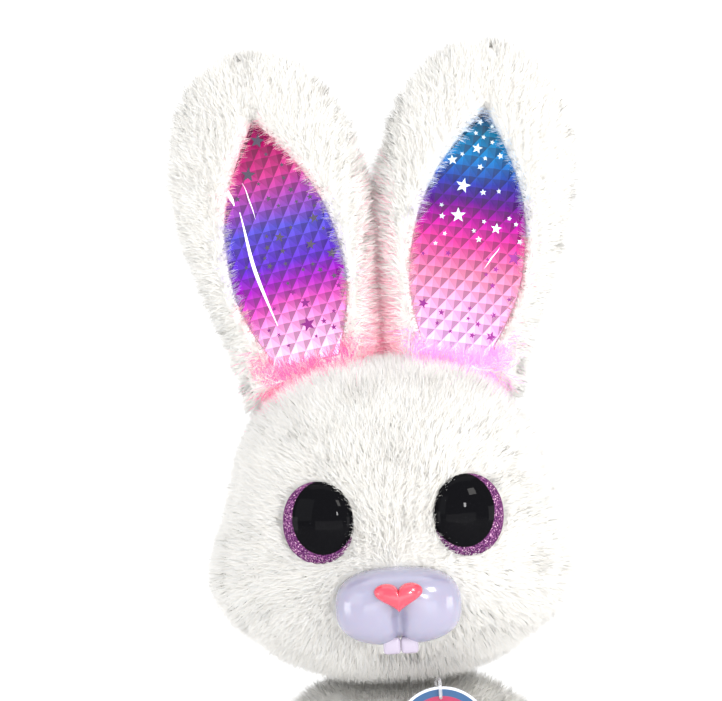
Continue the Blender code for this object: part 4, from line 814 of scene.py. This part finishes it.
def make_muzzle():
    """Two glossy lobes: a wide ball with a cleft down its lower front."""
    def shape(out):
        place = superball(MUZZLE_HALF, MUZZLE_POWER)(out)
        under = min(max(-(place.z - 5 * MM) / (8 * MM), 0), 1)
        cleft = 0.26 * math.exp(-(place.x / (2.3 * MM)) ** 2) * under
        cleft += 0.12 * math.exp(-(place.x / (6 * MM)) ** 2) * under
        notch = 0.16 * math.exp(-(place.x / (4 * MM)) ** 2) if place.z < 0 else 0
        return Vector((place.x, place.y * (1 - cleft), place.z * (1 - notch)))

    muzzle = globe("muzzle_lobes", MUZZLE_AT, shape, [LAVENDER], 120, 192)
    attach(muzzle, "head")
    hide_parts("muzzle")


def heart(name, width, depth, mat, body, replaced):
    """A puffy heart: its outline drawn in and pushed forward ring by ring."""
    steps, bands = 96, 14
    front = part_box(replaced)[0][1]
    verts = []
    for k in range(bands + 1):
        turn = math.pi / 2 * k / bands
        scale = math.cos(turn) ** 0.7 if k < bands else 0.001
        y = front + depth * (1 - math.sin(turn) ** 0.9)
        for i in range(steps):
            t = 2 * math.pi * (i + 0.5) / steps
            x = math.sin(t) ** 3
            z = (13 * math.cos(t) - 5 * math.cos(2 * t) - 2 * math.cos(3 * t) - math.cos(4 * t)) / 17
            outline = Vector((x * width / 2, 0, (z + 0.12) * width * 0.36))
            verts.append(Vector((0, y, NOSE_Z)) + outline * scale)
    faces = grid_faces(bands + 1, steps)
    faces.append(tuple(range(bands * steps, (bands + 1) * steps)))
    faces.append(tuple(range(steps))[::-1])
    obj = mesh_object(name, verts, faces, [mat])
    recalculate(obj)
    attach(obj, body)
    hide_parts(replaced)


def make_teeth():
    low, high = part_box("teeth")
    mid = middle("teeth")
    bm = bmesh.new()
    for side in (-1, 1):
        size = Vector((high[0] - low[0], high[1] - low[1], high[2] - low[2]))
        place = Matrix.Translation((side * size.x * 0.243, mid.y, mid.z + size.z * 0.14))
        scale = Matrix.Diagonal((size.x * 0.482, size.y * 0.9, size.z * 0.7, 1))
        bmesh.ops.create_cube(bm, size=1, matrix=place @ scale)
    obj = mesh_object("front_teeth", [], [], [IVORY])
    bm.to_mesh(obj.data)
    bm.free()
    soften(obj, 1.5 * MM, 5)
    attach(obj, "head")
    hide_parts("teeth")


def soften(obj, width, segments):
    bevel = obj.modifiers.new("soft_edges", "BEVEL")
    bevel.width, bevel.segments = width, segments
    mesh = bpy.data.meshes.new_from_object(obj.evaluated_get(bpy.context.evaluated_depsgraph_get()))
    obj.modifiers.clear()
    obj.data = mesh
    obj.data.shade_smooth()


# ---------------------------------------------------------------- tag and plain pieces

def make_tag():
    """A round card with a blue rim and plain curved bands; it carries no lettering."""
    low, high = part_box("hang_tag")
    centre, radius = middle("hang_tag"), (high[0] - low[0]) / 2
    card = material("tag_card", (0.88, 0.88, 0.9), 0.35, Coat_Weight=0.4)
    place = node(card, "ShaderNodeTexCoord")
    split = node(card, "ShaderNodeSeparateXYZ")
    link(card, place.outputs["Object"], split.inputs[0])
    x, z = split.outputs["X"], split.outputs["Z"]
    reach = arithmetic(card, "SQRT", arithmetic(card, "ADD", arithmetic(card, "MULTIPLY", x, x),
                                                arithmetic(card, "MULTIPLY", z, z)), 0)
    share = arithmetic(card, "DIVIDE", reach, radius)
    wave = node(card, "ShaderNodeTexWave", wave_type="RINGS")
    wave.inputs["Scale"].default_value = 26
    wave.inputs["Distortion"].default_value = 2.2
    wave.inputs["Detail"].default_value = 0
    link(card, place.outputs["Object"], wave.inputs["Vector"])
    bands = ramp(card, [(0.0, (0.38, 0.006, 0.07)), (0.42, (0.38, 0.006, 0.07)),
                        (0.46, (0.85, 0.84, 0.88)), (1.0, (0.85, 0.84, 0.88))], wave.outputs["Fac"])
    rim = ramp(card, [(0.0, (0, 0, 0)), (0.8, (0, 0, 0)), (0.815, (1, 1, 1)), (1.0, (1, 1, 1))],
               share)
    edge = ramp(card, [(0.0, (0.004, 0.07, 0.2)), (0.945, (0.004, 0.07, 0.2)),
                       (0.955, (0.7, 0.74, 0.8)), (1.0, (0.7, 0.74, 0.8))], share)
    mix = node(card, "ShaderNodeMix", data_type="RGBA")
    link(card, rim, mix.inputs[0])
    link(card, bands, mix.inputs[6])
    link(card, edge, mix.inputs[7])
    link(card, mix.outputs[2], shader_of(card).inputs["Base Color"])
    bm = bmesh.new()
    bmesh.ops.create_cone(bm, cap_ends=True, segments=96, radius1=radius, radius2=radius,
                          depth=high[1] - low[1], matrix=Matrix.Rotation(math.pi / 2, 4, "X"))
    tag = mesh_object("round_tag", [], [], [card], smooth=False)
    bm.to_mesh(tag.data)
    bm.free()
    tag.location = centre
    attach(tag, "tag")
    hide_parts("hang_tag")


def finish_plain_nodes():
    """Procedural finishes for the CAD pieces that stay as they are."""
    white = material("moulded_white", (0.78, 0.78, 0.77), 0.42, Specular_IOR_Level=0.5)
    steel = material("steel_screw", (0.55, 0.55, 0.56), 0.3, 1.0)
    board = material("board_green", (0.02, 0.16, 0.07), 0.4)
    fill = material("loose_fill", (0.85, 0.85, 0.85), 1.0)
    gear = material("gear_ivory", (0.8, 0.78, 0.7), 0.4)
    clear = material("clear_loop_plastic", (0.9, 0.9, 0.92), 0.15, Transmission_Weight=0.7)
    dark = material("switch_black", (0.03, 0.03, 0.03), 0.35)
    cell = material("cell_wrap", (0.12, 0.12, 0.14), 0.3)
    kinds = (("stuffing", fill), ("screw", steel), ("contact", steel), ("board", board),
             ("battery_1", cell), ("battery_2", cell), ("battery_3", cell), ("motor", steel),
             ("pinion", gear), ("shaft", gear), ("loop", clear), ("switch", dark))
    for name, obj in NODES.items():
        if obj.hide_render:
            continue
        mat = next((m for key, m in kinds if key in name), white)
        obj.data.materials.clear()
        obj.data.materials.append(mat)


# ---------------------------------------------------------------- camera and light

def make_stage():
    floor_mat = material("pale_floor", (0.93, 0.93, 0.93), 0.9)
    profile = [(-3.0, 0.0), (0.9, 0.0)]
    for i in range(1, 13):
        turn = math.pi / 2 * i / 12
        profile.append((0.9 + 0.8 * math.sin(turn), 0.8 * (1 - math.cos(turn))))
    profile.append((1.7, 3.5))
    verts = [(x, y, z - 0.0002) for y, z in profile for x in (-4, 4)]
    sweep = mesh_object("pale_sweep", verts, grid_faces(len(profile), 2, closed=False), [floor_mat])


def area_light(name, place, target, size, power, colour=(1, 1, 1)):
    light = bpy.data.lights.new(name, "AREA")
    light.shape = "RECTANGLE"
    light.size, light.size_y = size
    light.energy = power
    light.color = colour
    obj = bpy.data.objects.new(name, light)
    obj.location = place
    obj.rotation_euler = (Vector(target) - Vector(place)).to_track_quat("-Z", "Y").to_euler()
    obj.visible_camera = False
    bpy.context.scene.collection.objects.link(obj)


def make_lights():
    target = (0, 0, 0.2)
    area_light("key_window", (0.75, -1.0, 0.95), target, (0.3, 0.36), 6.5, (1, 0.98, 0.95))
    area_light("fill_window", (-1.1, -0.9, 0.6), target, (0.9, 0.9), 3, (0.94, 0.97, 1))
    area_light("catch_light", (0.32, -0.9, 0.34), (0, 0, 0.17), (0.07, 0.1), 2.2)
    area_light("low_fill", (0.05, -0.85, 0.03), (0, 0, 0.13), (1.1, 0.25), 1.5)
    for name, side in SIDES:
        area_light(f"{name}_low_panel", (side * 0.9, -0.3, 0.12), (0, 0, 0.12), (0.4, 0.24), 1.1)
    area_light("top_panel", (0, 0.25, 1.5), target, (1.4, 1.4), 6)
    world = bpy.data.worlds.new("soft_white")
    world.use_nodes = True
    world.node_tree.nodes["Background"].inputs["Color"].default_value = (1, 1, 1, 1)
    world.node_tree.nodes["Background"].inputs["Strength"].default_value = 1.0
    bpy.context.scene.world = world
    bpy.context.scene.view_settings.view_transform = "Standard"


def make_camera():
    """Nearly head on, a little above the eyes, rolled as the pet was held."""
    distance, view_width = 0.52, 0.2715
    rise, roll = math.radians(-2), math.radians(-3.2)
    target = Vector((-8.2 * MM, -30 * MM, 233 * MM))
    away = Vector((0, -math.cos(rise), math.sin(rise)))
    camera = bpy.data.cameras.new("camera")
    camera.sensor_width = 36
    camera.lens = camera.sensor_width * distance / view_width
    camera.clip_end = 20
    obj = bpy.data.objects.new("camera", camera)
    look = (-away).to_track_quat("-Z", "Y").to_matrix().to_4x4()
    obj.matrix_world = (Matrix.Translation(target + away * distance) @ look
                        @ Matrix.Rotation(roll, 4, "Z"))
    bpy.context.scene.collection.objects.link(obj)
    bpy.context.scene.camera = obj


def main():
    make_camera()
    make_stage()
    make_lights()
    make_head()
    for name, side in SIDES:
        make_ear_plush(name, side)
    make_soft("body_skin", "body", ROOT_DEPTH, 2.6, downward, PILE, pieces=2)
    for name, side in SIDES:
        make_soft(f"{name}_arm", "body", 4 * MM, 3.2, downward, 6.5 * MM)
        make_soft(f"{name}_foot", "body", 4 * MM, 3.2, outward(middle("body_skin")), 6.5 * MM)
    make_soft("tail", "body", 4 * MM, 3.6, outward(middle("tail")), 7.5 * MM)
    make_light_ears()
    make_eyes()
    make_muzzle()
    heart("heart_nose", 17 * MM, 4.5 * MM, CORAL, "nose", "nose_button")
    make_teeth()
    make_tag()
    finish_plain_nodes()


main()
